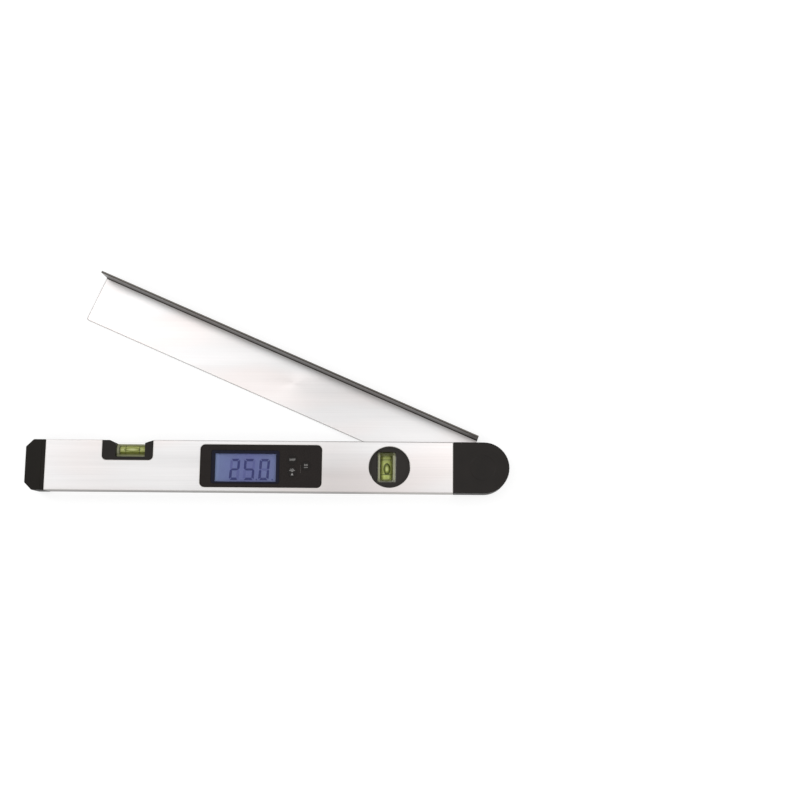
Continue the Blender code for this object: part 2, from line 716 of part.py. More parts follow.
def door_screw_x():
    return door_span()[1] - FRAME_END / 2


def build_battery_frame():
    """The moulded frame between the back wall and the display board, open to both."""
    low = BACK_Z + DOOR_THICKNESS + FIT
    high = BOARD_LOW_Z - FIT
    frame = piece("battery_frame", "black_plastic", solid(prism(door_outline(0), low, high)))
    left, right = door_span()
    half = frame_half_width() + FRAME_WALL
    lip_low = INNER_BACK_Z + FIT
    lip = rectangle(left, right, -half - FRAME_LIP, half + FRAME_LIP)
    fuse(frame, helper("frame_lip", solid(prism(lip, lip_low, lip_low + FRAME_LIP_THICKNESS))))
    half_x = frame_length() / 2
    room = rectangle(BATTERY_X - half_x, BATTERY_X + half_x, -frame_half_width(), frame_half_width())
    cut(frame, helper("frame_room", solid(prism(room, low - CUT_OVERRUN, high + CUT_OVERRUN))))
    screw = circle(SCREW_RADIUS + FIT, SMALL_STEPS, (door_screw_x(), 0))
    hole = solid(prism(screw, low - CUT_OVERRUN, low + SCREW_LENGTH + FRAME_END / 4))
    cut(frame, helper("frame_screw_hole", hole))


def build_batteries():
    """Two small round cells side by side, the second turned end for end."""
    edge = BATTERY_NUB_LENGTH / 2
    profile = [
        (0, 0),
        (BATTERY_RADIUS - edge, 0),
        (BATTERY_RADIUS, edge),
        (BATTERY_RADIUS, BATTERY_LENGTH - edge),
        (BATTERY_RADIUS - edge, BATTERY_LENGTH),
        (BATTERY_NUB_RADIUS, BATTERY_LENGTH),
        (BATTERY_NUB_RADIUS, BATTERY_LENGTH + BATTERY_NUB_LENGTH),
        (0, BATTERY_LENGTH + BATTERY_NUB_LENGTH),
    ]
    z = battery_z()
    span = BATTERY_LENGTH + BATTERY_NUB_LENGTH
    for number, side in ((1, 1), (2, -1)):
        location = (BATTERY_X - side * span / 2, side * (BATTERY_RADIUS + FIT / 2), z)
        rotation = (0, side * math.pi / 2, 0)
        cell = solid(turned(profile, SMALL_STEPS))
        piece(f"battery_{number}", "battery_wrap", cell, location=location, rotation=rotation)


def battery_z():
    return BOARD_LOW_Z - FIT - BATTERY_RADIUS


def build_contacts():
    """A bridge across both cells at the left, and one spring leaf for each at the right."""
    z = battery_z()
    half = CONTACT_HEIGHT / 2
    wide = frame_half_width() - FIT
    narrow = BATTERY_RADIUS - FIT
    wall = frame_length() / 2 - FIT
    leaves = {
        "contact_bridge": (-1, -wide, wide, (-BATTERY_RADIUS, BATTERY_RADIUS)),
        "contact_plus": (1, FIT, 2 * narrow, (BATTERY_RADIUS,)),
        "contact_minus": (1, -2 * narrow, -FIT, (-BATTERY_RADIUS,)),
    }
    for name, (side, y_low, y_high, domes) in leaves.items():
        x_low = min(side * wall, side * (wall - CONTACT_THICKNESS))
        leaf = solid(prism(rectangle(y_low, y_high, z - half, z + half), x_low, x_low + CONTACT_THICKNESS))
        contact = piece(name, "brass", leaf, location=(BATTERY_X, 0, 0), rotation=SECTION_ALONG_X)
        for number, y in enumerate(domes, start=1):
            base = side * (wall - CONTACT_THICKNESS / 2)
            rise = CONTACT_THICKNESS / 2 + CONTACT_DOME
            profile = [(0, 0), (CONTACT_DOME_RADIUS, 0), (CONTACT_DOME_RADIUS, CONTACT_THICKNESS / 2)]
            profile += [(CONTACT_DOME_RADIUS / 2, rise), (0, rise)]
            dome = helper(
                f"{name}_dome_{number}",
                solid(turned(profile)),
                location=(BATTERY_X + base, y, z),
                rotation=(0, -side * math.pi / 2, 0),
            )
            fuse(contact, dome)


def build_battery_door():
    """A thin door flush with the back, with grip grooves and one countersunk screw."""
    low = BACK_Z
    door = piece("battery_door", "black_plastic", solid(prism(door_outline(0), low, low + DOOR_THICKNESS)))
    x = door_screw_x()
    sink = DOOR_THICKNESS - DOOR_GRIP_DEPTH
    hole = turned(
        [
            (0, low - CUT_OVERRUN),
            (SCREW_HEAD + FIT, low - CUT_OVERRUN),
            (SCREW_HEAD + FIT, low),
            (SCREW_RADIUS + FIT, low + sink),
            (SCREW_RADIUS + FIT, low + DOOR_THICKNESS + CUT_OVERRUN),
            (0, low + DOOR_THICKNESS + CUT_OVERRUN),
        ]
    )
    cut(door, helper("door_screw_hole", solid(hole), location=(x, 0, 0)))
    left = door_span()[0]
    grips = []
    for number in range(DOOR_GRIPS):
        start = left + FRAME_END / 2 + 2 * number * DOOR_GRIP_WIDTH
        strip = rectangle(start, start + DOOR_GRIP_WIDTH, -BATTERY_RADIUS, BATTERY_RADIUS)
        grips.append(prism(strip, low - CUT_OVERRUN, low + DOOR_GRIP_DEPTH))
    cut(door, helper("door_grips", solid(*grips)))
    profile = [
        (0, low + FIT / 2),
        (SCREW_HEAD - FIT / 2, low + FIT / 2),
        (SCREW_RADIUS, low + sink + FIT),
        (SCREW_RADIUS, low + SCREW_LENGTH),
        (0, low + SCREW_LENGTH),
    ]
    piece("door_screw", "steel", solid(turned(profile)), location=(x, 0, 0))


# Top edge vial
def top_vial_y():
    return NOTCH_FLOOR_Y + FIT + POCKET_FLOOR + TOP_VIAL_LIFT + TOP_VIAL_RADIUS


def build_top_vial():
    """A black saddle in the notch, whose shoulders dip towards the barrel of the vial."""
    half = NOTCH_LENGTH / 2 - FIT
    pocket = POCKET_LENGTH / 2
    high = HALF_HEIGHT - FIT
    dip = HALF_HEIGHT - HOLDER_DIP
    top = [
        (NOTCH_X + half, high),
        (POCKET_X + pocket, dip),
        (POCKET_X - pocket, dip),
        (NOTCH_X - half + SHOULDER_FLAT, high),
        (NOTCH_X - half, high),
    ]
    saddle = solid(prism(notch_outline(FIT, top), BACK_Z, FRONT_Z))
    holder = piece("top_vial_holder", "black_plastic", saddle)
    bevel(holder, EDGE_BEVEL / 2, segments=1)
    floor = NOTCH_FLOOR_Y + FIT + POCKET_FLOOR
    room = rectangle(POCKET_X - pocket, POCKET_X + pocket, floor, HALF_HEIGHT + CUT_OVERRUN)
    cut(holder, helper("top_pocket", solid(prism(room, BACK_Z - CUT_OVERRUN, FRONT_Z + CUT_OVERRUN))))
    reach = pocket + VIAL_SOCKET
    socket = solid(turned(cylinder(TOP_VIAL_RADIUS + FIT, -reach - FIT, reach + FIT), ROUND_STEPS))
    place = (POCKET_X, top_vial_y(), MID_Z)
    cut(holder, helper("top_sockets", socket, location=place, rotation=AXIS_ALONG_X))
    bore = TOP_VIAL_RADIUS - VIAL_WALL
    deep = -reach + VIAL_END
    profile = [(0, -reach), (TOP_VIAL_RADIUS - VIAL_EDGE, -reach), (TOP_VIAL_RADIUS, -reach + VIAL_EDGE)]
    profile += [(TOP_VIAL_RADIUS, reach - VIAL_EDGE), (TOP_VIAL_RADIUS - VIAL_EDGE, reach), (bore, reach)]
    profile += barrel(bore, VIAL_BARREL, reach, deep)
    profile += [(0, deep)]
    vial = solid(turned(profile, ROUND_STEPS // 2))
    piece("top_vial", "green_vial", vial, location=place, rotation=AXIS_ALONG_X)
    plug = solid(turned(cylinder(bore - FIT, reach - VIAL_END, reach)))
    piece("top_vial_plug", "clear_plastic", plug, location=place, rotation=AXIS_ALONG_X)


def barrel(radius, swell, start, end, steps=6):
    """Points down a bore that swells in the middle, as a vial's does so that its bubble finds the top."""
    points = []
    for step in range(1, steps):
        share = step / steps
        points.append((radius + swell * math.sin(math.pi * share), start + (end - start) * share))
    return points + [(radius, end)]


# Round insert
def build_round_insert():
    """A black disc right through the body, with a window for the plumb vial left of its middle."""
    insert = piece(
        "round_vial_holder",
        "black_plastic",
        solid(prism(circle(INSERT_RADIUS), BACK_Z, FRONT_Z)),
        location=(INSERT_X, 0, 0),
    )
    bevel(insert, EDGE_BEVEL)
    inner = circle(INSERT_RADIUS - INSERT_RIM)
    face = solid(prism(inner, FRONT_Z - INSERT_SUNK, FRONT_Z + CUT_OVERRUN))
    cut(insert, helper("insert_face", face, location=(INSERT_X, 0, 0)))
    half_x = BLOCK_WIDTH / 2
    half_y = BLOCK_LENGTH / 2
    window = rounded(-half_x - FIT, half_x + FIT, -half_y - FIT, half_y + FIT, BLOCK_CORNER, steps=3)
    shaft = solid(prism(window, BACK_Z - CUT_OVERRUN, FRONT_Z + CUT_OVERRUN))
    cut(insert, helper("insert_window", shaft, location=(BLOCK_X, 0, 0)))
    half_z = BLOCK_DEPTH / 2
    block_outline = rounded(-half_x, half_x, -half_y, half_y, BLOCK_CORNER, steps=3)
    place = (BLOCK_X, 0, MID_Z)
    block = piece("round_vial", "green_vial", solid(prism(block_outline, -half_z, half_z)), location=place)
    bevel(block, EDGE_BEVEL / 2, segments=1)
    deep = -half_y + BLOCK_END
    start = half_y + FIT
    profile = [(0, start), (BLOCK_BORE_RADIUS, start)]
    profile += barrel(BLOCK_BORE_RADIUS, VIAL_BARREL, start, deep)
    profile += [(0, deep)]
    bore = solid(turned(profile[::-1], ROUND_STEPS // 2))
    cut(block, helper("block_bore", bore, location=place, rotation=AXIS_ALONG_Y))
    plug = solid(turned(cylinder(BLOCK_BORE_RADIUS - FIT, half_y - BLOCK_END, half_y)))
    piece("round_vial_plug", "clear_plastic", plug, location=place, rotation=AXIS_ALONG_Y)


# Hinge housing
def post_places():
    """Where the cover is screwed to the housing: two beside the aluminium, two beside the pivot."""
    right = HINGE_BULGE + POST_RING * math.cos(POST_ANGLE)
    up = POST_RING * math.sin(POST_ANGLE)
    return [(POST_LEFT_X, POST_SIDE_Y), (POST_LEFT_X, -POST_SIDE_Y), (right, up), (right, -up)]


def encoder_post_places():
    return [(ENCODER_POST_X, ENCODER_POST_Y), (ENCODER_POST_X, -ENCODER_POST_Y)]


def build_hinge_housing():
    """The moulded rear shell: floor with a bush boss, posts for the cover and the encoder, and a plug."""
    left = HINGE_JOINT_X + FIT
    floor_top = BACK_Z + HOUSING_WALL
    block = solid(prism(d_outline(left), BACK_Z, HOUSING_TOP_Z))
    housing = piece("hinge_housing", "black_plastic", block)
    plug = solid(prism(plug_section(0), left - PLUG_LENGTH, left + HOUSING_WALL / 2))
    fuse(housing, helper("housing_plug", plug, rotation=SECTION_ALONG_X))
    inside = d_outline(left + HOUSING_WALL, HOUSING_WALL)
    cut(housing, helper("housing_hollow", solid(prism(inside, floor_top, HOUSING_TOP_Z + CUT_OVERRUN))))
    plug_end = left - PLUG_LENGTH - CUT_OVERRUN
    passage = solid(prism(plug_section(PLUG_WALL), plug_end, left + 2 * HOUSING_WALL))
    cut(housing, helper("housing_passage", passage, rotation=SECTION_ALONG_X))
    boss_radius = HUB_RADIUS + FIT + HUB_BOSS_WALL
    boss = solid(turned(cylinder(boss_radius, floor_top - FIT, BOSS_TOP_Z), INNER_STEPS))
    fuse(housing, helper("bush_boss", boss))
    for number, place in enumerate(post_places(), start=1):
        post = solid(prism(circle(POST_RADIUS, SMALL_STEPS, place), floor_top - FIT, POST_SPLIT_Z))
        fuse(housing, helper(f"housing_post_{number}", post))
    posts = [
        prism(circle(ENCODER_POST_RADIUS, SMALL_STEPS, place), floor_top - FIT, ENCODER_LOW_Z - FIT)
        for place in encoder_post_places()
    ]
    fuse(housing, helper("encoder_posts", solid(*posts)))
    recess = [
        (0, BACK_Z - CUT_OVERRUN),
        (HUB_RADIUS + FIT, BACK_Z - CUT_OVERRUN),
        (HUB_RADIUS + FIT, BUSH_LOW_Z),
        (SHAFT_RADIUS + RUNNING_FIT + BUSH_WALL + FIT, BUSH_LOW_Z),
        (SHAFT_RADIUS + RUNNING_FIT + BUSH_WALL + FIT, BOSS_TOP_Z + CUT_OVERRUN),
        (0, BOSS_TOP_Z + CUT_OVERRUN),
    ]
    cut(housing, helper("hub_recess", solid(turned(recess, INNER_STEPS))))
    holes = [turned(countersunk_hole(), centre=place) for place in post_places()]
    holes += [
        prism(circle(SCREW_RADIUS + FIT, SMALL_STEPS, place), floor_top + CUT_OVERRUN, ENCODER_LOW_Z)
        for place in encoder_post_places()
    ]
    cut(housing, helper("housing_screw_holes", solid(*holes)))


def countersunk_hole():
    """The cutter for a cover screw, up through the housing's back and post."""
    return [
        (0, BACK_Z - CUT_OVERRUN),
        (COVER_SCREW_HEAD + FIT, BACK_Z - CUT_OVERRUN),
        (COVER_SCREW_HEAD + FIT, BACK_Z),
        (COVER_SCREW_RADIUS + FIT, BACK_Z + COVER_SCREW_SINK),
        (COVER_SCREW_RADIUS + FIT, POST_SPLIT_Z + CUT_OVERRUN),
        (0, POST_SPLIT_Z + CUT_OVERRUN),
    ]


def build_hinge_cover():
    """The black front of the hinge: a plate with a shallow dish, a lip inside the wall and four posts."""
    left = HINGE_JOINT_X + FIT
    cover = piece("hinge_cover", "black_plastic", solid(prism(d_outline(left), COVER_UNDER_Z, FRONT_Z)))
    bevel(cover, COVER_BEVEL, segments=3)
    inset = HOUSING_WALL + FIT
    outer = d_outline(left + inset, inset)
    inner = d_outline(left + inset + COVER_LIP, inset + COVER_LIP)
    lip = solid(ring_prism(outer, inner, COVER_UNDER_Z - COVER_LIP_DEPTH, COVER_UNDER_Z + FIT))
    fuse(cover, helper("cover_lip", lip))
    low = POST_SPLIT_Z + FIT
    high = COVER_UNDER_Z + FIT
    whole = [prism(circle(POST_RADIUS, SMALL_STEPS, place), low, high) for place in post_places()]
    posts = helper("cover_posts", solid(*whole))
    inside = d_outline(left + inset + FIT, inset + FIT)
    outside = d_outline(left - HOUSING_WALL, -HOUSING_WALL)
    trim = solid(ring_prism(outside, inside, low - CUT_OVERRUN, high + CUT_OVERRUN))
    cut(posts, helper("cover_post_trim", trim))
    fuse(cover, posts)
    dish = [
        (0, FRONT_Z - DISH_DEPTH),
        (DISH_RADIUS - DISH_SLOPE, FRONT_Z - DISH_DEPTH),
        (DISH_RADIUS, FRONT_Z),
        (DISH_RADIUS, FRONT_Z + CUT_OVERRUN),
        (0, FRONT_Z + CUT_OVERRUN),
    ]
    cut(cover, helper("cover_dish", solid(turned(dish, ROUND_STEPS))))
    bore = COVER_SCREW_RADIUS + FIT
    low = POST_SPLIT_Z - CUT_OVERRUN
    high = POST_SPLIT_Z + COVER_SCREW_BITE + FIT
    pilots = [prism(circle(bore, SMALL_STEPS, place), low, high) for place in post_places()]
    cut(cover, helper("cover_pilots", solid(*pilots)))


def build_cover_screws():
    low = BACK_Z + FIT / 2
    profile = [
        (0, low),
        (COVER_SCREW_HEAD - FIT / 2, low),
        (COVER_SCREW_RADIUS, BACK_Z + COVER_SCREW_SINK + FIT / 2),
        (COVER_SCREW_RADIUS, POST_SPLIT_Z + COVER_SCREW_BITE),
        (0, POST_SPLIT_Z + COVER_SCREW_BITE),
    ]
    for number, (x, y) in enumerate(post_places(), start=1):
        piece(f"cover_screw_{number}", "steel", solid(turned(profile)), location=(x, y, 0))


def build_bush():
    bore = SHAFT_RADIUS + RUNNING_FIT
    profile = [
        (bore, BUSH_LOW_Z),
        (bore + BUSH_WALL, BUSH_LOW_Z),
        (bore + BUSH_WALL, BOSS_TOP_Z + FIT),
        (BUSH_FLANGE_RADIUS, BOSS_TOP_Z + FIT),
        (BUSH_FLANGE_RADIUS, BUSH_TOP_Z),
        (bore, BUSH_TOP_Z),
    ]
    piece("pivot_bush", "bronze", solid(turned(profile, INNER_STEPS)))


def build_encoder_board():
    """The board that reads the turning disc, screwed to two posts of the housing."""
    meet = math.degrees(math.asin(ENCODER_HALF / ENCODER_RADIUS))
    outline = [(ENCODER_LEFT_X, ENCODER_HALF), (ENCODER_LEFT_X, -ENCODER_HALF)]
    outline += arc((0, 0), ENCODER_RADIUS, -meet, meet, ROUND_STEPS // 2)
    board = piece("encoder_board", "board_green", solid(prism(outline, ENCODER_LOW_Z, ENCODER_TOP_Z)))
    plug_x = encoder_plug_x()
    plug = rectangle(plug_x - CABLE_PLUG / 2, plug_x + CABLE_PLUG / 2, -CABLE_PLUG, CABLE_PLUG)
    socket = solid(prism(plug, ENCODER_LOW_Z - CABLE_PLUG_DEPTH, ENCODER_LOW_Z + FIT))
    fuse(board, helper("encoder_plug", socket))
    holes = [
        prism(circle(SCREW_RADIUS + FIT, SMALL_STEPS, place), ENCODER_LOW_Z - FIT, ENCODER_TOP_Z + FIT)
        for place in encoder_post_places()
    ]
    holes.append(prism(circle(ENCODER_BORE), ENCODER_LOW_Z - FIT, ENCODER_TOP_Z + FIT))
    cut(board, helper("encoder_holes", solid(*holes)))
    for number, (x, y) in enumerate(encoder_post_places(), start=1):
        small_screw(f"encoder_screw_{number}", (x, y, ENCODER_TOP_Z + FIT + SCREW_HEAD_HEIGHT), flipped=True)


def encoder_plug_x():
    return ENCODER_LEFT_X + CABLE_PLUG


def build_cable():
    """The lead from the display board, along the body's lower wall and past the round insert."""
    start_x = board_plug_place() + CABLE_PLUG / 2 + FIT
    start_z = BOARD_LOW_Z - CABLE_PLUG_DEPTH / 2
    end_x = encoder_plug_x() - CABLE_PLUG / 2 - FIT
    end_z = ENCODER_LOW_Z - CABLE_PLUG_DEPTH / 2
    low_z = INNER_BACK_Z + FIT + PLUG_WALL + PLUG_LENGTH / 4
    clear = INSERT_RADIUS
    route = [
        Vector((start_x, 0, start_z)),
        Vector((start_x + PLUG_LENGTH / 3, 0, start_z - CABLE_PLUG_DEPTH)),
        Vector((start_x + PLUG_LENGTH, CABLE_SIDE_Y / 2, low_z)),
        Vector((INSERT_X - clear - PLUG_WALL, CABLE_SIDE_Y, low_z)),
        Vector((INSERT_X, CABLE_SIDE_Y, low_z)),
        Vector((INSERT_X + clear, CABLE_SIDE_Y, low_z)),
        Vector((HINGE_JOINT_X - PLUG_LENGTH, CABLE_SIDE_Y * 3 / 4, low_z)),
        Vector((HINGE_JOINT_X - PLUG_LENGTH / 2, CABLE_SIDE_Y / 3, (low_z + end_z) / 2)),
        Vector((end_x - PLUG_LENGTH / 4, 0, end_z)),
        Vector((end_x, 0, end_z)),
    ]
    points = smooth_route(route, CABLE_STEPS)
    points = [Vector((p.x, max(p.y, CABLE_SIDE_Y), min(p.z, end_z))) for p in points]
    curve = bpy.data.curves.new("encoder_cable", "CURVE")
    curve.dimensions = "3D"
    curve.bevel_depth = CABLE_RADIUS
    curve.bevel_resolution = 2
    curve.use_fill_caps = True
    line = curve.splines.new("POLY")
    line.points.add(len(points) - 1)
    for point, place in zip(line.points, points):
        point.co = (*place, 1.0)
    curve.materials.append(material("cable_grey"))
    cable = bpy.data.objects.new("encoder_cable", curve)
    bpy.context.scene.collection.objects.link(cable)


def smooth_route(route, steps):
    """Points on a Catmull-Rom curve through the route."""
    ends = [route[0] * 2 - route[1], *route, route[-1] * 2 - route[-2]]
    points = []
    for a, b, c, d in zip(ends, ends[1:], ends[2:], ends[3:]):
        for step in range(steps):
            t = step / steps
            square = a * 2 - b * 5 + c * 4 - d
            cube = b * 3 - a - c * 3 + d
            points.append((b * 2 + (c - a) * t + square * t**2 + cube * t**3) / 2)
    return points + [route[-1]]


# Arm and what turns with it
def build_arm(pivot):
    """An L-section arm: a plate behind the body with a round head, and a flange along its top side."""
    far = -ARM_REACH
    meet = math.degrees(math.acos(FLANGE_START / HEAD_RADIUS))
    foot = math.degrees(math.asin(ARM_EDGE / HEAD_RADIUS))
    outline = [(far, FLANGE_OUTER)]
    outline += arc((far + ARM_CORNER, -ARM_EDGE + ARM_CORNER), ARM_CORNER, 180, 270, CORNER_STEPS)
    outline += arc((0, 0), HEAD_RADIUS, -foot, 180 - meet, ROUND_STEPS // 2)
    outline += [(-FLANGE_START, FLANGE_OUTER)]
    arm = piece("arm", "aluminium", solid(prism(outline, 0, ARM_WALL)), parent=pivot)
    top = FRONT_Z
    fillet = ARM_FILLET
    wall = [(FLANGE_OUTER, 0), (FLANGE_OUTER, top - ARM_EDGE_ROUND), (FLANGE_OUTER - ARM_EDGE_ROUND, top)]
    wall += [(FLANGE_INNER + ARM_EDGE_ROUND, top), (FLANGE_INNER, top - ARM_EDGE_ROUND)]
    wall += arc((FLANGE_INNER - fillet, ARM_WALL + fillet), fillet, 0, -90, CORNER_STEPS)
    wall += [(FLANGE_INNER - fillet, 0)]
    flange = solid(prism(wall, far, -FLANGE_START))
    fuse(arm, helper("arm_flange", flange, parent=pivot, rotation=SECTION_ALONG_X))
    sink = [
        (0, -CUT_OVERRUN),
        (ARM_SCREW_HEAD + FIT, -CUT_OVERRUN),
        (ARM_SCREW_HEAD + FIT, 0),
        (ARM_SCREW_RADIUS + FIT, ARM_SCREW_SINK),
        (ARM_SCREW_RADIUS + FIT, ARM_WALL + CUT_OVERRUN),
        (0, ARM_WALL + CUT_OVERRUN),
    ]
    holes = [turned(sink, centre=place) for place in arm_screw_places()]
    holes.append(turned(cylinder(SPIGOT_RADIUS + FIT, -CUT_OVERRUN, ARM_WALL + CUT_OVERRUN), INNER_STEPS))
    cut(arm, helper("arm_holes", solid(*holes), parent=pivot))


def arm_screw_places():
    angles = [2 * math.pi * number / ARM_SCREW_COUNT for number in range(ARM_SCREW_COUNT)]
    return [(ARM_SCREW_RING * math.cos(a), ARM_SCREW_RING * math.sin(a)) for a in angles]


def build_spindle(pivot):
    """The turned steel spindle: a spigot in the arm, a flange screwed to it, the shaft and a flatted tip."""
    profile = [
        (0, 0),
        (SPIGOT_RADIUS, 0),
        (SPIGOT_RADIUS, HUB_LOW_Z),
        (HUB_RADIUS, HUB_LOW_Z),
        (HUB_RADIUS, HUB_TOP_Z),
        (SHAFT_RADIUS, HUB_TOP_Z),
        (SHAFT_RADIUS, SHAFT_TOP_Z),
        (TIP_RADIUS, SHAFT_TOP_Z),
        (TIP_RADIUS, TIP_TOP_Z),
        (0, TIP_TOP_Z),
    ]
    spindle = piece("pivot_spindle", "steel", solid(turned(profile, INNER_STEPS)), parent=pivot)
    flat = TIP_RADIUS * TIP_FLAT_SHARE
    side = rectangle(flat, flat + TIP_RADIUS, -TIP_RADIUS, TIP_RADIUS)
    key = solid(prism(side, SHAFT_TOP_Z, TIP_TOP_Z + CUT_OVERRUN))
    cut(spindle, helper("tip_flat", key, parent=pivot))
    bore = ARM_SCREW_RADIUS + FIT
    low = HUB_LOW_Z - CUT_OVERRUN
    high = HUB_TOP_Z + CUT_OVERRUN
    holes = [prism(circle(bore, SMALL_STEPS, place), low, high) for place in arm_screw_places()]
    cut(spindle, helper("hub_holes", solid(*holes), parent=pivot))
    low = FIT / 2
    screw = [
        (0, low),
        (ARM_SCREW_HEAD - FIT / 2, low),
        (ARM_SCREW_RADIUS, ARM_SCREW_SINK + FIT / 2),
        (ARM_SCREW_RADIUS, HUB_TOP_Z - FIT),
        (0, HUB_TOP_Z - FIT),
    ]
    for number, (x, y) in enumerate(arm_screw_places(), start=1):
        piece(f"arm_screw_{number}", "steel", solid(turned(screw)), parent=pivot, location=(x, y, 0))


def build_wave_washer(pivot):
    """The friction spring: a flat ring bent into waves, so that the arm stays where it is put."""
    bore = SHAFT_RADIUS + FIT
    mesh = bmesh.new()
    rings = []
    steps = WAVE_COUNT * SMALL_STEPS // 2
    for step in range(steps):
        angle = 2 * math.pi * step / steps
        lift = WAVE_LOW_Z + WAVE_LIFT * (1 + math.cos(WAVE_COUNT * angle)) / 2
        top = lift + WAVE_THICKNESS
        corners = [(bore, lift), (WAVE_RADIUS, lift), (WAVE_RADIUS, top), (bore, top)]
        rings.append([mesh.verts.new((r * math.cos(angle), r * math.sin(angle), z)) for r, z in corners])
    for here, after in zip(rings, rings[1:] + rings[:1]):
        for side in range(len(here)):
            following = (side + 1) % len(here)
            mesh.faces.new((here[side], after[side], after[following], here[following]))
    piece("wave_washer", "spring_steel", mesh, parent=pivot)


def build_washer_and_nut(pivot):
    bore = SHAFT_RADIUS + FIT
    washer_top_z = WASHER_LOW_Z + WASHER_THICKNESS
    washer = solid(turned(tube(WASHER_RADIUS, bore, WASHER_LOW_Z, washer_top_z), INNER_STEPS))
    piece("flat_washer", "steel", washer, parent=pivot)
    corner = NUT_ACROSS_FLATS / math.sqrt(3)
    nut_top_z = NUT_LOW_Z + NUT_THICKNESS
    nut = piece("pivot_nut", "steel", solid(prism(circle(corner, 6), NUT_LOW_Z, nut_top_z)), parent=pivot)
    bevel(nut, EDGE_BEVEL, segments=1)
    thread = solid(turned(cylinder(bore, NUT_LOW_Z - CUT_OVERRUN, nut_top_z + CUT_OVERRUN), INNER_STEPS))
    cut(nut, helper("nut_bore", thread, parent=pivot))


def build_rotor(pivot):
    """The encoder disc with its ring of slots, keyed on the spindle's flat, and the clip above it."""
    top = ROTOR_LOW_Z + ROTOR_THICKNESS
    disc = solid(prism(circle(ROTOR_RADIUS), ROTOR_LOW_Z, top))
    rotor = piece("encoder_rotor", "board_green", disc, parent=pivot)
    reach = TIP_RADIUS + FIT
    flat = TIP_RADIUS * TIP_FLAT_SHARE + FIT
    turn = math.degrees(math.acos(flat / reach))
    bore = arc((0, 0), reach, turn, 360 - turn, SMALL_STEPS)
    slots = [prism(bore, ROTOR_LOW_Z - FIT, top + FIT)]
    for number in range(ROTOR_SLOTS):
        angle = 2 * math.pi * number / ROTOR_SLOTS
        place = (ROTOR_SLOT_RADIUS * math.cos(angle), ROTOR_SLOT_RADIUS * math.sin(angle))
        slots.append(prism(circle(ROTOR_SLOT_SIZE, 8, place), ROTOR_LOW_Z - FIT, top + FIT))
    cut(rotor, helper("rotor_slots", solid(*slots), parent=pivot))
    clip = solid(turned(tube(CLIP_RADIUS, reach, CLIP_LOW_Z, CLIP_LOW_Z + CLIP_THICKNESS)))
    piece("rotor_clip", "spring_steel", clip, parent=pivot)


def main():
    clear_scene()
    build_body()
    build_end_cap()
    build_display_panel()
    build_lcd()
    build_display_board()
    build_keys()
    build_battery_frame()
    build_batteries()
    build_contacts()
    build_battery_door()
    build_top_vial()
    build_round_insert()
    build_hinge_housing()
    build_hinge_cover()
    build_cover_screws()
    build_bush()
    build_encoder_board()
    build_cable()
    pivot = bpy.data.objects.new("pivot", None)
    bpy.context.scene.collection.objects.link(pivot)
    pivot.rotation_euler = (0, 0, -REST_OPENING)
    build_arm(pivot)
    build_spindle(pivot)
    build_wave_washer(pivot)
    build_washer_and_nut(pivot)
    build_rotor(pivot)


main()
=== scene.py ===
"""Looks of the digital angle finder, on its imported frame."""

import math

import bmesh
import bpy
from mathutils import Euler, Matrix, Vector


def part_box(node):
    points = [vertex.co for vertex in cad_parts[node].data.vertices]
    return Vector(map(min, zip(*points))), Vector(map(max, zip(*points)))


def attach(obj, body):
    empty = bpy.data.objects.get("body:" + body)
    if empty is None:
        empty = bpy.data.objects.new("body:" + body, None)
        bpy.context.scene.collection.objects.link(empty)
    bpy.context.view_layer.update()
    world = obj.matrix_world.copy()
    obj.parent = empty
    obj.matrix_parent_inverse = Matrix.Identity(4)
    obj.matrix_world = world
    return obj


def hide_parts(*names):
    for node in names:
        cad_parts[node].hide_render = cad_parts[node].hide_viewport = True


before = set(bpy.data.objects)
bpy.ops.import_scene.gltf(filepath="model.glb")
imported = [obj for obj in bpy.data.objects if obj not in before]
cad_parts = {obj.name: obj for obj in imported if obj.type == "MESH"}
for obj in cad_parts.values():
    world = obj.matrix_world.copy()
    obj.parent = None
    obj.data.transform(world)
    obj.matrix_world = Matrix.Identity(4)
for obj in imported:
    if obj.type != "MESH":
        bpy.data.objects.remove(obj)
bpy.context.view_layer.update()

REST_ANGLE = math.radians(23.5)
ARM_BODY = "swing_arm"
SHARP = math.radians(35)
SAME_POINT = 0.0000005
ALUMINIUM_RIM = 0.0016
PLASTIC_RIM = 0.0005
# The span along X of the painted sheen and shade on the aluminium
PAINTED_LIGHT_START, PAINTED_LIGHT_END = -0.4, 0
BATTERY_ENDS = (-0.2415, -0.1962)
# Places of the Mix node's sockets when it mixes colours
MIX_FACTOR, MIX_FIRST, MIX_SECOND, MIX_RESULT = 0, 6, 7, 2


# Node helpers
def new_material(name):
    made = bpy.data.materials.new(name)
    made.use_nodes = True
    return made, made.node_tree, made.node_tree.nodes["Principled BSDF"]


def add_node(tree, kind, **values):
    node = tree.nodes.new(kind)
    for key, value in values.items():
        setattr(node, key, value)
    return node


def object_vector(tree, scale=(1, 1, 1), rotation=(0, 0, 0)):
    coords = add_node(tree, "ShaderNodeTexCoord")
    mapping = add_node(tree, "ShaderNodeMapping")
    mapping.inputs["Rotation"].default_value = rotation
    mapping.inputs["Scale"].default_value = scale
    tree.links.new(coords.outputs["Object"], mapping.inputs["Vector"])
    return mapping.outputs["Vector"]


def noise(tree, vector, scale, detail=3.0, roughness=0.5):
    node = add_node(tree, "ShaderNodeTexNoise")
    node.inputs["Scale"].default_value = scale
    node.inputs["Detail"].default_value = detail
    node.inputs["Roughness"].default_value = roughness
    tree.links.new(vector, node.inputs["Vector"])
    return node.outputs["Fac"]


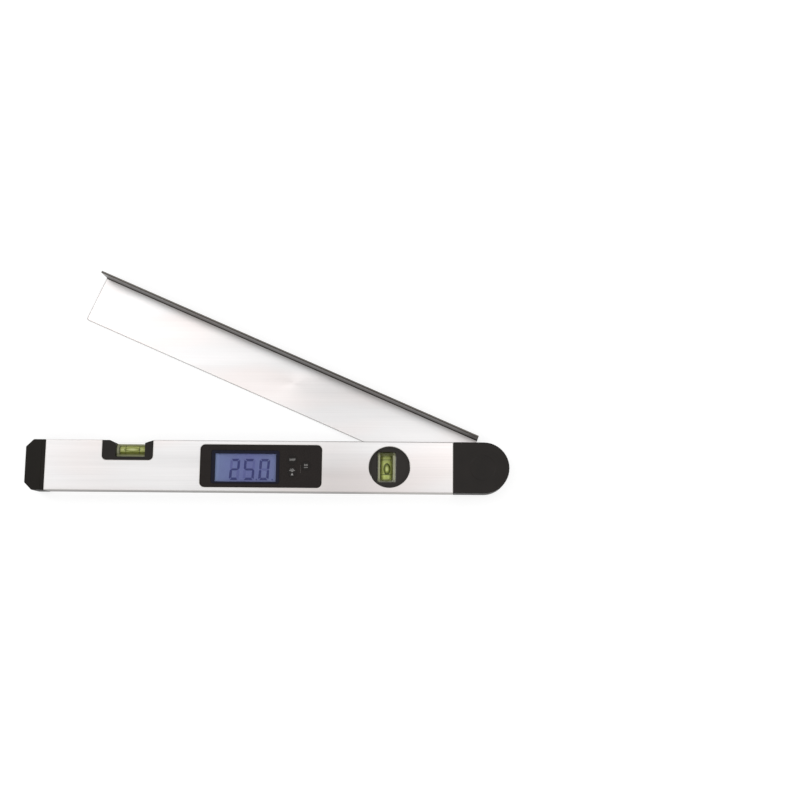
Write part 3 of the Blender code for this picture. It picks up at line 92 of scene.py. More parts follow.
def ramp(tree, factor, *stops):
    """A colour ramp from (position, colour) pairs; a single number is a grey."""
    node = add_node(tree, "ShaderNodeValToRGB")
    elements = node.color_ramp.elements
    while len(elements) < len(stops):
        elements.new(0.5)
    for element, (position, colour) in zip(elements, stops):
        element.position = position
        grey = (colour,) * 3 if isinstance(colour, (int, float)) else colour
        element.color = (*grey, 1)
    tree.links.new(factor, node.inputs["Fac"])
    return node.outputs["Color"]


def map_range(tree, value, low, high, first, last):
    """Maps low to high onto first to last, and holds the ends beyond them."""
    node = add_node(tree, "ShaderNodeMapRange")
    ends = (("From Min", low), ("From Max", high), ("To Min", first), ("To Max", last))
    for label, number in ends:
        node.inputs[label].default_value = number
    tree.links.new(value, node.inputs["Value"])
    return node.outputs["Result"]


def spread(tree, factor, low, high):
    """Maps a 0 to 1 factor onto a range."""
    return map_range(tree, factor, 0, 1, low, high)


def blend_colours(tree, factor, first, second, mode="MIX"):
    node = add_node(tree, "ShaderNodeMix", data_type="RGBA", blend_type=mode)
    for value, place in ((factor, MIX_FACTOR), (first, MIX_FIRST), (second, MIX_SECOND)):
        if isinstance(value, bpy.types.NodeSocket):
            tree.links.new(value, node.inputs[place])
        elif place == MIX_FACTOR:
            node.inputs[place].default_value = value
        else:
            node.inputs[place].default_value = (*value, 1)
    return node.outputs[MIX_RESULT]


def multiply(tree, first, second):
    return blend_colours(tree, 1.0, first, second, "MULTIPLY")


def bump(tree, height, strength, distance):
    node = add_node(tree, "ShaderNodeBump")
    node.inputs["Strength"].default_value = strength
    node.inputs["Distance"].default_value = distance
    tree.links.new(height, node.inputs["Height"])
    return node.outputs["Normal"]


def edge_mask(tree, radius, low=0.9, high=0.995):
    """1 along the solid's edges, 0 on its faces."""
    node = add_node(tree, "ShaderNodeBevel", samples=6)
    node.inputs["Radius"].default_value = radius
    shape = add_node(tree, "ShaderNodeNewGeometry")
    dot = add_node(tree, "ShaderNodeVectorMath", operation="DOT_PRODUCT")
    tree.links.new(node.outputs["Normal"], dot.inputs[0])
    tree.links.new(shape.outputs["Normal"], dot.inputs[1])
    return map_range(tree, dot.outputs["Value"], low, high, 1, 0)


def srgb(red, green, blue):
    """A colour read off the screen, 0 to 255, as linear numbers."""
    shares = (red / 255, green / 255, blue / 255)
    return tuple(s / 12.92 if s <= 0.04045 else ((s + 0.055) / 1.055) ** 2.4 for s in shares)


# Materials
def side_mask(tree, low=0.35, high=0.8):
    """1 on faces that stand upright when the tool lies on its back, 0 on its front and back."""
    coords = add_node(tree, "ShaderNodeTexCoord")
    parts = add_node(tree, "ShaderNodeSeparateXYZ")
    tree.links.new(coords.outputs["Normal"], parts.inputs["Vector"])
    level = add_node(tree, "ShaderNodeMath", operation="ABSOLUTE")
    tree.links.new(parts.outputs["Z"], level.inputs[0])
    return map_range(tree, level.outputs["Value"], low, high, 1, 0)


def place_along(tree, axis, start, end, angle=0):
    """0 to 1 along an axis of a piece that is turned by an angle."""
    parts = add_node(tree, "ShaderNodeSeparateXYZ")
    tree.links.new(object_vector(tree, rotation=(0, 0, angle)), parts.inputs["Vector"])
    return map_range(tree, parts.outputs[axis], start, end, 0, 1)


def brushed_aluminium(name, angle, light, dark, tones, across, side, rim, rough=0.34):
    """Satin aluminium, brushed along the piece's length, with painted sheen and shade along it,
    painted shade across it and painted shade on its upright sides and edges.

    The stops of the sheen along it and of the side shade lie along the piece, and those of the shade across
    it and on its edges lie across it.
    """
    made, tree, shader = new_material(name)
    fine = noise(tree, object_vector(tree, (10, 2600, 2600), (0, 0, angle)), 1.0, 2.0, 0.6)
    broad = noise(tree, object_vector(tree, (3, 90, 40), (0, 0, angle)), 1.0, 2.0)
    tint = noise(tree, object_vector(tree, (9, 24, 10), (0, 0, angle)), 1.0, 1.0)
    base = ramp(tree, fine, (0.3, dark), (0.7, light))
    soft = ramp(tree, broad, (0.35, 0.95), (0.65, 1.0))
    warm = ramp(tree, tint, (0.4, (1.0, 0.955, 0.945)), (0.6, (0.985, 0.985, 0.99)))
    length = place_along(tree, "X", PAINTED_LIGHT_START, PAINTED_LIGHT_END, angle)
    low, high, stops = across
    base = multiply(tree, base, soft)
    base = multiply(tree, base, warm)
    # Painted sheen and shade along the piece's length
    base = multiply(tree, base, ramp(tree, length, *tones))
    width = place_along(tree, "Y", low, high, angle)
    # Painted shade across the piece's width
    base = multiply(tree, base, ramp(tree, width, *stops))
    edges = edge_mask(tree, ALUMINIUM_RIM, 0.93)
    # Painted shade along the edges
    base = blend_colours(tree, edges, base, ramp(tree, width, *rim))
    # Painted shade on the upright sides
    base = blend_colours(tree, side_mask(tree), base, ramp(tree, length, *side))
    tree.links.new(base, shader.inputs["Base Color"])
    tree.links.new(spread(tree, fine, rough - 0.05, rough + 0.08), shader.inputs["Roughness"])
    shader.inputs["Metallic"].default_value = 1.0
    shader.inputs["Anisotropic"].default_value = 0.3
    tree.links.new(bump(tree, fine, 0.12, 0.00004), shader.inputs["Normal"])
    return made


def moulded_plastic(name, colour, rough=0.5, grain=2600, strength=0.25, edge=0.004, gloss=0.2):
    """Matte moulded plastic with a fine spark-eroded grain and a painted highlight along its edges."""
    made, tree, shader = new_material(name)
    vector = object_vector(tree)
    fine = noise(tree, vector, grain, 2.0, 0.6)
    cloud = noise(tree, vector, 60, 3.0)
    # A painted highlight along the edges: the base made lighter there
    edge_highlight = tuple(min(1, c * 1.35 + edge) for c in colour)
    darker = tuple(c * 0.85 for c in colour)
    body = ramp(tree, cloud, (0.35, darker), (0.65, colour))
    rim = edge_mask(tree, PLASTIC_RIM)
    base = blend_colours(tree, rim, body, edge_highlight)
    tree.links.new(base, shader.inputs["Base Color"])
    tree.links.new(spread(tree, fine, rough - 0.08, rough + 0.1), shader.inputs["Roughness"])
    shader.inputs["Specular IOR Level"].default_value = gloss
    tree.links.new(bump(tree, fine, strength, 0.00006), shader.inputs["Normal"])
    return made


def gloss_plastic(name, colour, rough=0.12, gloss=0.25):
    made, tree, shader = new_material(name)
    vector = object_vector(tree)
    waves = noise(tree, vector, 90, 2.0)
    specks = noise(tree, vector, 1500, 1.0)
    base = ramp(tree, waves, (0.3, tuple(c * 0.85 for c in colour)), (0.7, colour))
    tree.links.new(base, shader.inputs["Base Color"])
    tree.links.new(ramp(tree, specks, (0.3, rough), (0.75, rough * 1.6)), shader.inputs["Roughness"])
    shader.inputs["Specular IOR Level"].default_value = gloss
    tree.links.new(bump(tree, waves, 0.05, 0.0001), shader.inputs["Normal"])
    return made


def beyond(tree, coordinate, middle, half):
    """1 where a coordinate is further than half a width from a middle."""
    away = add_node(tree, "ShaderNodeMath", operation="SUBTRACT")
    tree.links.new(coordinate, away.inputs[0])
    away.inputs[1].default_value = middle
    size = add_node(tree, "ShaderNodeMath", operation="ABSOLUTE")
    tree.links.new(away.outputs["Value"], size.inputs[0])
    test = add_node(tree, "ShaderNodeMath", operation="GREATER_THAN")
    tree.links.new(size.outputs["Value"], test.inputs[0])
    test.inputs[1].default_value = half
    return test.outputs["Value"]


def lens_plastic(name):
    """The thin display window: see-through over the screen, printed dark blue along its border."""
    made, tree, shader = new_material(name)
    low, high = SCREEN_BOX
    haze = noise(tree, object_vector(tree), 400, 2.0)
    parts = add_node(tree, "ShaderNodeSeparateXYZ")
    tree.links.new(object_vector(tree), parts.inputs["Vector"])
    border = add_node(tree, "ShaderNodeMath", operation="MAXIMUM")
    for place, axis in enumerate("XY"):
        middle, half = (low[place] + high[place]) / 2, (high[place] - low[place]) / 2
        tree.links.new(beyond(tree, parts.outputs[axis], middle, half), border.inputs[place])
    base = ramp(tree, haze, (0.3, srgb(20, 21, 35)), (0.7, srgb(24, 25, 40)))
    tree.links.new(base, shader.inputs["Base Color"])
    tree.links.new(spread(tree, haze, 0.04, 0.09), shader.inputs["Roughness"])
    tree.links.new(spread(tree, border.outputs["Value"], 0.04, 1.0), shader.inputs["Alpha"])
    shader.inputs["Specular IOR Level"].default_value = 0.15
    return made


def turned_metal(name, light, dark, rough=0.3, scale=1800):
    """Turned or plated metal with fine tool marks."""
    made, tree, shader = new_material(name)
    marks = noise(tree, object_vector(tree), scale, 3.0, 0.65)
    base = ramp(tree, marks, (0.3, dark), (0.7, light))
    tree.links.new(base, shader.inputs["Base Color"])
    tree.links.new(spread(tree, marks, rough - 0.06, rough + 0.12), shader.inputs["Roughness"])
    shader.inputs["Metallic"].default_value = 1.0
    tree.links.new(bump(tree, marks, 0.1, 0.00003), shader.inputs["Normal"])
    return made


def board_laminate(name):
    """Green lacquered laminate with copper tracks under the lacquer."""
    made, tree, shader = new_material(name)
    brick = add_node(tree, "ShaderNodeTexBrick", offset=0.5, squash=1.6, squash_frequency=3)
    brick.inputs["Scale"].default_value = 260
    brick.inputs["Mortar Size"].default_value = 0.035
    brick.inputs["Color1"].default_value = (*srgb(20, 92, 48), 1)
    brick.inputs["Color2"].default_value = (*srgb(24, 100, 54), 1)
    brick.inputs["Mortar"].default_value = (*srgb(60, 150, 84), 1)
    tree.links.new(object_vector(tree), brick.inputs["Vector"])
    weave = noise(tree, object_vector(tree), 2200, 2.0)
    base = multiply(tree, brick.outputs["Color"], ramp(tree, weave, (0.3, 0.85), (0.7, 1.0)))
    tree.links.new(base, shader.inputs["Base Color"])
    tree.links.new(spread(tree, weave, 0.25, 0.4), shader.inputs["Roughness"])
    return made


def battery_film(name):
    """Dark shrink film with a copper-coloured band at one end."""
    made, tree, shader = new_material(name)
    place = place_along(tree, "X", *BATTERY_ENDS)
    band = ramp(tree, place, (0.7, srgb(38, 42, 46)), (0.72, srgb(168, 132, 70)))
    scuff = noise(tree, object_vector(tree), 900, 3.0)
    base = multiply(tree, band, ramp(tree, scuff, (0.3, 0.86), (0.7, 1.0)))
    tree.links.new(base, shader.inputs["Base Color"])
    tree.links.new(spread(tree, scuff, 0.2, 0.36), shader.inputs["Roughness"])
    return made


def lit_display(name):
    """The lit blue of the display, paler at its left edge."""
    made, tree, shader = new_material(name)
    low, high = SCREEN_BOX
    across = ramp(
        tree,
        place_along(tree, "X", low[0], high[0]),
        (0.0, srgb(124, 140, 182)),
        (0.07, srgb(104, 116, 162)),
        (0.55, srgb(97, 103, 158)),
        (1.0, srgb(103, 114, 158)),
    )
    haze = noise(tree, object_vector(tree, (60, 90, 60)), 1.0, 1.0)
    base = multiply(tree, across, ramp(tree, haze, (0.35, 0.93), (0.65, 1.0)))
    tree.links.new(base, shader.inputs["Base Color"])
    tree.links.new(base, shader.inputs["Emission Color"])
    shader.inputs["Emission Strength"].default_value = 0.05
    tree.links.new(spread(tree, haze, 0.3, 0.4), shader.inputs["Roughness"])
    return made


def ink(name, colour, rough=0.55, glow=0.0):
    """Printed or lit marks, with slightly uneven cover."""
    made, tree, shader = new_material(name)
    cover = noise(tree, object_vector(tree), 1800, 2.0)
    base = ramp(tree, cover, (0.3, tuple(c * 0.82 for c in colour)), (0.7, colour))
    tree.links.new(base, shader.inputs["Base Color"])
    tree.links.new(spread(tree, cover, rough - 0.1, rough + 0.1), shader.inputs["Roughness"])
    if glow:
        tree.links.new(base, shader.inputs["Emission Color"])
        shader.inputs["Emission Strength"].default_value = glow
    return made


# Geometry helpers
def outline_arc(centre, radius, start, end, steps):
    angles = [math.radians(start + (end - start) * step / steps) for step in range(steps + 1)]
    return [(centre[0] + radius * math.cos(a), centre[1] + radius * math.sin(a)) for a in angles]


def rounded_outline(low, high, radius, steps=5):
    points = []
    corners = [
        (high[0] - radius, low[1] + radius),
        (high[0] - radius, high[1] - radius),
        (low[0] + radius, high[1] - radius),
        (low[0] + radius, low[1] + radius),
    ]
    for centre, start in zip(corners, (-90, 0, 90, 180)):
        points += outline_arc(centre, radius, start, start + 90, steps)
    return points


def add_slab(mesh, outline, low, high):
    face = mesh.faces.new([mesh.verts.new((x, y, low)) for x, y in outline])
    top = bmesh.ops.extrude_face_region(mesh, geom=[face])["geom"]
    moved = [item for item in top if isinstance(item, bmesh.types.BMVert)]
    bmesh.ops.translate(mesh, verts=moved, vec=(0, 0, high - low))


def add_turned(mesh, profile, steps):
    """Turns a line of (radius, height) points about the upright axis."""
    line = [mesh.verts.new((radius, 0, z)) for radius, z in profile]
    edges = [mesh.edges.new(pair) for pair in zip(line, line[1:])]
    bmesh.ops.spin(
        mesh, geom=line + edges, cent=(0, 0, 0), axis=(0, 0, 1), angle=2 * math.pi, steps=steps,
        use_merge=True,
    )
    bmesh.ops.remove_doubles(mesh, verts=mesh.verts, dist=SAME_POINT)


def add_piece(name, mesh, look, body, location=(0, 0, 0), rotation=(0, 0, 0), smooth=True):
    bmesh.ops.recalc_face_normals(mesh, faces=mesh.faces)
    data = bpy.data.meshes.new(name)
    mesh.to_mesh(data)
    mesh.free()
    made = bpy.data.objects.new(name, data)
    bpy.context.scene.collection.objects.link(made)
    made.location = location
    made.rotation_euler = rotation
    data.materials.append(look)
    if smooth:
        data.shade_smooth()
        data.set_sharp_from_angle(angle=SHARP)
    if body:
        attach(made, body)
    return made


def paint(node, look):
    """Gives a CAD node its material, in every slot."""
    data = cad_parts[node].data
    if not data.materials:
        data.materials.append(look)
    for index in range(len(data.materials)):
        data.materials[index] = look


# Display
LCD_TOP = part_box("lcd_module")[1][2]
# The part of the screen that the window's border leaves free
SCREEN_BOX = ((-0.2436, -0.0143), (-0.1880, 0.0113))
SCREEN_OVERLAP = 0.0003
SCREEN_LOW = tuple(place - SCREEN_OVERLAP for place in SCREEN_BOX[0])
SCREEN_HIGH = tuple(place + SCREEN_OVERLAP for place in SCREEN_BOX[1])
SCREEN_ROUND = 0.0006
SCREEN_Z = LCD_TOP + 0.00004
GLYPH_SLANT = 0.13
DIGIT_STROKE = 0.0023
DIGIT_BOTTOM, DIGIT_TOP = -0.0128, 0.0067
DIGIT_PLACES = {"2": (-0.2310, -0.2208), "5": (-0.2183, -0.2070), "0": (-0.2042, -0.1935)}
DIGIT_THICK, GHOST_THICK = 0.00005, 0.00003
DOT_PLACES = {"lcd_point": -0.2058, "lcd_degree_dot": -0.1913}
DOT_HALF, DOT_ROUND = 0.0006, 0.0004


def segment_shapes(width, height, stroke):
    """The seven segments of a digit, as outlines in a box from (0, 0), with slanted ends."""
    gap = stroke * 0.03
    half = height / 2
    cut = stroke * 0.42
    across = [(cut + gap, 0), (width - cut - gap, 0), (width - stroke - gap, stroke), (stroke + gap, stroke)]
    top = [(x, height - y) for x, y in across][::-1]
    middle = [
        (cut + gap, half),
        (stroke + gap, half - cut),
        (width - stroke - gap, half - cut),
        (width - cut - gap, half),
        (width - stroke - gap, half + cut),
        (stroke + gap, half + cut),
    ]
    lower_left = [
        (0, cut + gap), (stroke, stroke + gap), (stroke, half - cut - gap), (cut, half - gap),
        (0, half - cut - gap),
    ]
    upper_left = [(x, height - y) for x, y in lower_left][::-1]
    lower_right = [(width - x, y) for x, y in lower_left][::-1]
    upper_right = [(width - x, y) for x, y in upper_left][::-1]
    return {
        "a": top, "b": upper_right, "c": lower_right, "d": across, "e": lower_left, "f": upper_left,
        "g": middle,
    }


DIGIT_SEGMENTS = {"2": "abged", "5": "afgcd", "0": "abcdef"}


def build_display():
    paint("lcd_module", gloss_plastic("lcd_surround", srgb(26, 30, 66), 0.2))
    screen = bmesh.new()
    outline = rounded_outline(SCREEN_LOW, SCREEN_HIGH, SCREEN_ROUND)
    add_slab(screen, outline, SCREEN_Z - 0.00003, SCREEN_Z + 0.00005)
    add_piece("lcd_screen", screen, lit_display("lcd_lit_blue"), "body", smooth=False)
    dark = ink("lcd_digit", srgb(44, 50, 112), 0.4, 0.03)
    ghost = ink("lcd_ghost", srgb(90, 95, 152), 0.4, 0.05)
    low_z = SCREEN_Z + 0.00007
    height = DIGIT_TOP - DIGIT_BOTTOM
    for digit, (left, right) in DIGIT_PLACES.items():
        shapes = segment_shapes(right - left - GLYPH_SLANT * height / 2, height, DIGIT_STROKE)
        for shown, look, thick in ((True, dark, DIGIT_THICK), (False, ghost, GHOST_THICK)):
            mesh = bmesh.new()
            for key, shape in shapes.items():
                if (key in DIGIT_SEGMENTS[digit]) == shown:
                    leaning = [(left + x + GLYPH_SLANT * y / 2, DIGIT_BOTTOM + y) for x, y in shape]
                    add_slab(mesh, leaning, low_z, low_z + thick)
            label = f"lcd_digit_{digit}" if shown else f"lcd_ghost_{digit}"
            add_piece(label, mesh, look, "body", smooth=False)
    for label, x in DOT_PLACES.items():
        mesh = bmesh.new()
        low, high = (x - DOT_HALF, DIGIT_BOTTOM), (x + DOT_HALF, DIGIT_BOTTOM + 2 * DOT_HALF)
        add_slab(mesh, rounded_outline(low, high, DOT_ROUND, 3), low_z, low_z + DIGIT_THICK)
        add_piece(label, mesh, dark, "body", smooth=False)


# Key marks
PRINT_LOW, PRINT_MIDDLE, PRINT_HIGH = 0.00001, 0.00002, 0.00003
PRINT_THICK = 0.00002
PRINT_BOLD = 0.00004
BULB_RISE = 0.0008
RAY_START, RAY_END, RAY_HALF = 0.0009, 0.0027, 0.00022


def text_piece(name, words, size, place, look, body, narrow=1.0):
    """Printed letters: a text object, centred on its place."""
    curve = bpy.data.curves.new(name, "FONT")
    curve.body = words
    curve.size = size
    curve.align_x = "CENTER"
    curve.align_y = "CENTER"
    curve.extrude = PRINT_THICK / 2
    curve.offset = PRINT_BOLD
    made = bpy.data.objects.new(name, curve)
    bpy.context.scene.collection.objects.link(made)
    made.location = place
    made.scale = (narrow, 1, 1)
    curve.materials.append(look)
    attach(made, body)


def build_key_marks():
    white = ink("key_print", srgb(150, 148, 146), 0.5)
    grey = ink("panel_print", srgb(116, 110, 106), 0.5)
    centre = {}
    for name in ("power", "light", "zero"):
        low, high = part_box(f"key_{name}")
        centre[name] = ((low[0] + high[0]) / 2, (low[1] + high[1]) / 2, high[2])
    x, y, z = centre["power"]
    place = (x, y, z + PRINT_MIDDLE)
    text_piece("mark_power", "ON/OFF", 0.0027, place, white, "power_key", 0.56)
    # A lamp with five rays over a small triangle
    x, y, z = centre["light"]
    bulb = bmesh.new()
    low, high = z + PRINT_LOW, z + PRINT_HIGH
    add_slab(bulb, [(x - 0.0012, y - 0.0029), (x + 0.0012, y - 0.0029), (x, y - 0.0007)], low, high)
    middle = (x, y + BULB_RISE)
    add_slab(bulb, outline_arc(middle, 0.0006, 0, 345, 23), low, high)
    for number in range(5):
        angle = math.radians(18 + 36 * number)
        ray = Vector((math.cos(angle), math.sin(angle)))
        side = Vector((-ray.y, ray.x)) * RAY_HALF
        start, end = Vector(middle) + ray * RAY_START, Vector(middle) + ray * RAY_END
        corners = (start - side, end - side, end + side, start + side)
        add_slab(bulb, [tuple(corner) for corner in corners], low, high)
    add_piece("mark_light", bulb, white, "light_key", smooth=False)
    # A zero over a bar
    x, y, z = centre["zero"]
    place = (x, y + 0.0008, z + PRINT_MIDDLE)
    text_piece("mark_zero", "0.0", 0.0026, place, white, "zero_key")
    bar = bmesh.new()
    outline = rounded_outline((x - 0.0018, y - 0.0016), (x + 0.0018, y - 0.0012), 0.00015, 2)
    add_slab(bar, outline, z + PRINT_LOW, z + PRINT_HIGH)
    add_piece("mark_zero_bar", bar, white, "zero_key", smooth=False)
    # The dashed line between the keys
    panel_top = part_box("display_panel")[1][2]
    dashes = bmesh.new()
    for number in range(4):
        y = 0.0004 - 0.0019 * number
        outline = rounded_outline((-0.1658, y - 0.0004), (-0.1655, y + 0.0004), 0.0001, 2)
        add_slab(dashes, outline, panel_top + PRINT_LOW, panel_top + PRINT_HIGH)
    add_piece("panel_divider", dashes, grey, "body", smooth=False)


# Vials
ROUND_STEPS = 40
LIQUID_SWELL = 0.00026
LIQUID_WAVE = 0.16
RING_INNER, RING_OUTER, RING_HALF = 0.00027, 0.00034, 0.0003
BUBBLE_THICK = 0.00005


def barrel_profile(radius, swell, half, bulge=0.0006, steps=10):
    """The liquid's profile: domed ends and a swollen middle."""
    points = [(0, -half), (radius * 0.6, -half + bulge * 0.15), (radius * 0.92, -half + bulge)]
    for step in range(1, steps):
        share = step / steps
        place = -half + bulge + (2 * half - 2 * bulge) * share
        points.append((radius + swell * math.sin(math.pi * share), place))
    return points + [(radius * 0.92, half - bulge), (radius * 0.6, half - bulge * 0.15), (0, half)]


def cut_out(target, other):
    modifier = target.modifiers.new(other.name, "BOOLEAN")
    modifier.operation = "DIFFERENCE"
    modifier.solver = "EXACT"
    modifier.object = other
    other.hide_render = True
    other.display_type = "WIRE"


def apply_modifiers(target):
    graph = bpy.context.evaluated_depsgraph_get()
    data = bpy.data.meshes.new_from_object(target.evaluated_get(graph))
    target.modifiers.clear()
    target.data = data
    data.shade_smooth()
    data.set_sharp_from_angle(angle=SHARP)


def tinted_liquid(name, across, along, axis_across, axis_along, reach):
    """Green spirit, with tones painted across and along the tube where light would bend in it."""
    made, tree, shader = new_material(name)
    wave = noise(tree, object_vector(tree), 260, 2.0)
    tones = []
    for axis, half, stops in ((axis_across, reach[0], across), (axis_along, reach[1], along)):
        shifted = add_node(tree, "ShaderNodeMath", operation="MULTIPLY_ADD")
        tree.links.new(wave, shifted.inputs[0])
        shifted.inputs[1].default_value = LIQUID_WAVE
        tree.links.new(place_along(tree, axis, -half, half), shifted.inputs[2])
        centred = add_node(tree, "ShaderNodeMath", operation="SUBTRACT")
        tree.links.new(shifted.outputs["Value"], centred.inputs[0])
        centred.inputs[1].default_value = LIQUID_WAVE / 2
        tones.append(ramp(tree, centred.outputs["Value"], *stops))
    base = multiply(tree, tones[0], tones[1])
    tree.links.new(base, shader.inputs["Base Color"])
    tree.links.new(spread(tree, wave, 0.12, 0.2), shader.inputs["Roughness"])
    # A painted glow on the spirit, which lifts its shaded lower side
    tree.links.new(base, shader.inputs["Emission Color"])
    shader.inputs["Emission Strength"].default_value = 0.12
    shader.inputs["Specular IOR Level"].default_value = 0.3
    return made


def clear_acrylic(name, bands):
    """Clear acrylic with painted highlights and shade in bands, and a painted glow where they cover: each
    band is an axis, its reach, colours and covers.
    """
    made, tree, shader = new_material(name)
    lines = noise(tree, object_vector(tree), 500, 2.0)
    base = cover = None
    for axis, start, end, colours, covers in bands:
        place = place_along(tree, axis, start, end)
        colour, amount = ramp(tree, place, *colours), ramp(tree, place, *covers)
        if base is None:
            base, cover = colour, amount
        else:
            base = blend_colours(tree, amount, base, colour)
            cover = blend_colours(tree, 1.0, cover, amount, "LIGHTEN")
    base = multiply(tree, base, ramp(tree, lines, (0.3, 0.92), (0.7, 1.0)))
    tree.links.new(base, shader.inputs["Base Color"])
    tree.links.new(spread(tree, lines, 0.05, 0.12), shader.inputs["Roughness"])
    tree.links.new(cover, shader.inputs["Alpha"])
    # A painted glow where the bands cover the acrylic
    tree.links.new(base, shader.inputs["Emission Color"])
    tree.links.new(spread(tree, cover, 0.0, 0.25), shader.inputs["Emission Strength"])
    shader.inputs["Specular IOR Level"].default_value = 0.25
    return made


def bubble_look(name, half_x, half_y, stops):
    """An air bubble: a painted highlight in its middle inside a painted dark outline."""
    made, tree, shader = new_material(name)
    away = add_node(tree, "ShaderNodeVectorMath", operation="LENGTH")
    tree.links.new(object_vector(tree, (1 / half_x, 1 / half_y, 0)), away.inputs[0])
    specks = noise(tree, object_vector(tree), 900, 2.0)
    body = ramp(tree, away.outputs["Value"], *stops)
    base = multiply(tree, body, ramp(tree, specks, (0.3, 0.9), (0.7, 1.0)))
    tree.links.new(base, shader.inputs["Base Color"])
    tree.links.new(spread(tree, specks, 0.08, 0.14), shader.inputs["Roughness"])
    shader.inputs["Specular IOR Level"].default_value = 0.3
    return made


def add_bubble(name, centre, axis, radius, shift, half_x, half_y, look):
    """A flat bubble that lies along the top of the liquid, shifted from the vial's middle."""
    mesh = bmesh.new()
    bmesh.ops.create_uvsphere(mesh, u_segments=36, v_segments=18, radius=1)
    for vert in mesh.verts:
        x, y, lift = vert.co.x * half_x, vert.co.y * half_y, vert.co.z * BUBBLE_THICK + BUBBLE_THICK
        side = x + shift[0] if axis == "Y" else y + shift[1]
        vert.co = (x, y, math.sqrt(radius ** 2 - side ** 2) + lift)
    place = (centre[0] + shift[0], centre[1] + shift[1], centre[2])
    add_piece(name, mesh, look, "body", place)


def vial_set(prefix, centre, axis, bore, half, shift, rings, liquid, ring_look):
    """Liquid in a vial's bore, with two reading rings around it."""
    rotation = (0, math.pi / 2, 0) if axis == "X" else (-math.pi / 2, 0, 0)
    turn = Euler(rotation).to_matrix()
    middle = Vector(centre) + (Vector((shift, 0, 0)) if axis == "X" else Vector((0, shift, 0)))
    mesh = bmesh.new()
    add_turned(mesh, barrel_profile(bore, LIQUID_SWELL, half), ROUND_STEPS)
    bmesh.ops.rotate(mesh, verts=mesh.verts, matrix=turn)
    add_piece(f"{prefix}_liquid", mesh, liquid, "body", tuple(middle))
    for number, offset in enumerate(rings, start=1):
        ring = bmesh.new()
        inner, outer = bore + RING_INNER, bore + RING_OUTER
        low, high = offset - RING_HALF, offset + RING_HALF
        profile = [(inner, low), (outer, low), (outer, high), (inner, high), (inner, low)]
        add_turned(ring, profile, ROUND_STEPS)
        bmesh.ops.rotate(ring, verts=ring.verts, matrix=turn)
        add_piece(f"{prefix}_ring_{number}", ring, ring_look, "body", tuple(centre))


def box_middle(node):
    low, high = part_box(node)
    return tuple((first + second) / 2 for first, second in zip(low, high))


def build_vials():
    ring_look = ink("vial_ring", srgb(72, 78, 26), 0.5)
    olive = srgb(104, 108, 56)
    build_top_vial(ring_look, olive)
    build_round_vial(ring_look, olive)


def build_top_vial(ring_look, olive):
    """The level vial in the notch, paler at its left end."""
    low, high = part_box("top_vial")
    centre = box_middle("top_vial")
    # Along the vial: paler near its left end
    ends = (
        "X", low[0], high[0],
        (
            (0.0, olive), (0.07, srgb(100, 102, 84)), (0.11, srgb(172, 174, 142)),
            (0.15, srgb(128, 130, 104)), (0.17, olive), (1.0, olive),
        ),
        ((0.0, 0.6), (0.07, 0.6), (0.11, 0.7), (0.15, 0.6), (0.17, 0.06), (1.0, 0.06)),
    )
    # Across the vial: painted highlight strips along both long sides, brightest near the low-Y side
    sides = (
        "Y", low[1], high[1],
        (
            (0.0, srgb(150, 152, 110)), (0.06, srgb(206, 208, 166)), (0.14, srgb(210, 212, 168)),
            (0.2, srgb(140, 144, 84)), (0.8, olive), (0.84, srgb(138, 139, 94)),
            (0.96, srgb(128, 128, 92)), (1.0, srgb(170, 170, 140)),
        ),
        (
            (0.0, 0.5), (0.06, 0.75), (0.14, 0.7), (0.2, 0.3), (0.26, 0.06), (0.78, 0.06),
            (0.84, 0.7), (0.96, 0.75), (1.0, 0.4),
        ),
    )
    paint("top_vial", clear_acrylic("top_vial_acrylic", (ends, sides)))
    paint("top_vial_plug", moulded_plastic("vial_stopper", srgb(118, 118, 88), 0.3, 1500, 0.1, 0.0))
    # Painted light across the spirit: a pale strip at its low-Y side, a dark line, and a bright middle
    band = (
        (0.0, srgb(182, 184, 132)), (0.12, srgb(148, 152, 92)), (0.2, srgb(124, 130, 66)),
        (0.28, srgb(88, 94, 32)), (0.36, srgb(166, 174, 96)), (0.5, srgb(192, 198, 126)),
        (0.7, srgb(180, 186, 112)), (0.9, srgb(166, 170, 104)), (1.0, srgb(146, 148, 96)),
    )
    # Painted light and shade along the spirit
    length = ((0.0, 0.75), (0.1, 0.9), (0.3, 1.0), (0.62, 0.9), (0.8, 1.0), (1.0, 0.92))
    half = 0.0123
    liquid = tinted_liquid("top_vial_liquid", band, length, "Y", "X", (0.0049, half))
    vial_set("top_vial", centre, "X", 0.00478, half, 0.001, (-0.0052, 0.0075), liquid, ring_look)
    # Painted highlight in the bubble's middle and painted shade at its outline
    stops = (
        (0.0, srgb(214, 218, 158)), (0.5, srgb(196, 202, 132)), (0.8, srgb(150, 158, 80)),
        (0.95, srgb(112, 118, 50)), (1.0, srgb(120, 126, 58)),
    )
    half_x, half_y = 0.0076, 0.0019
    look = bubble_look("top_vial_bubble", half_x, half_y, stops)
    add_bubble("top_vial_bubble", centre, "X", 0.00502, (0.0008, 0.0005), half_x, half_y, look)


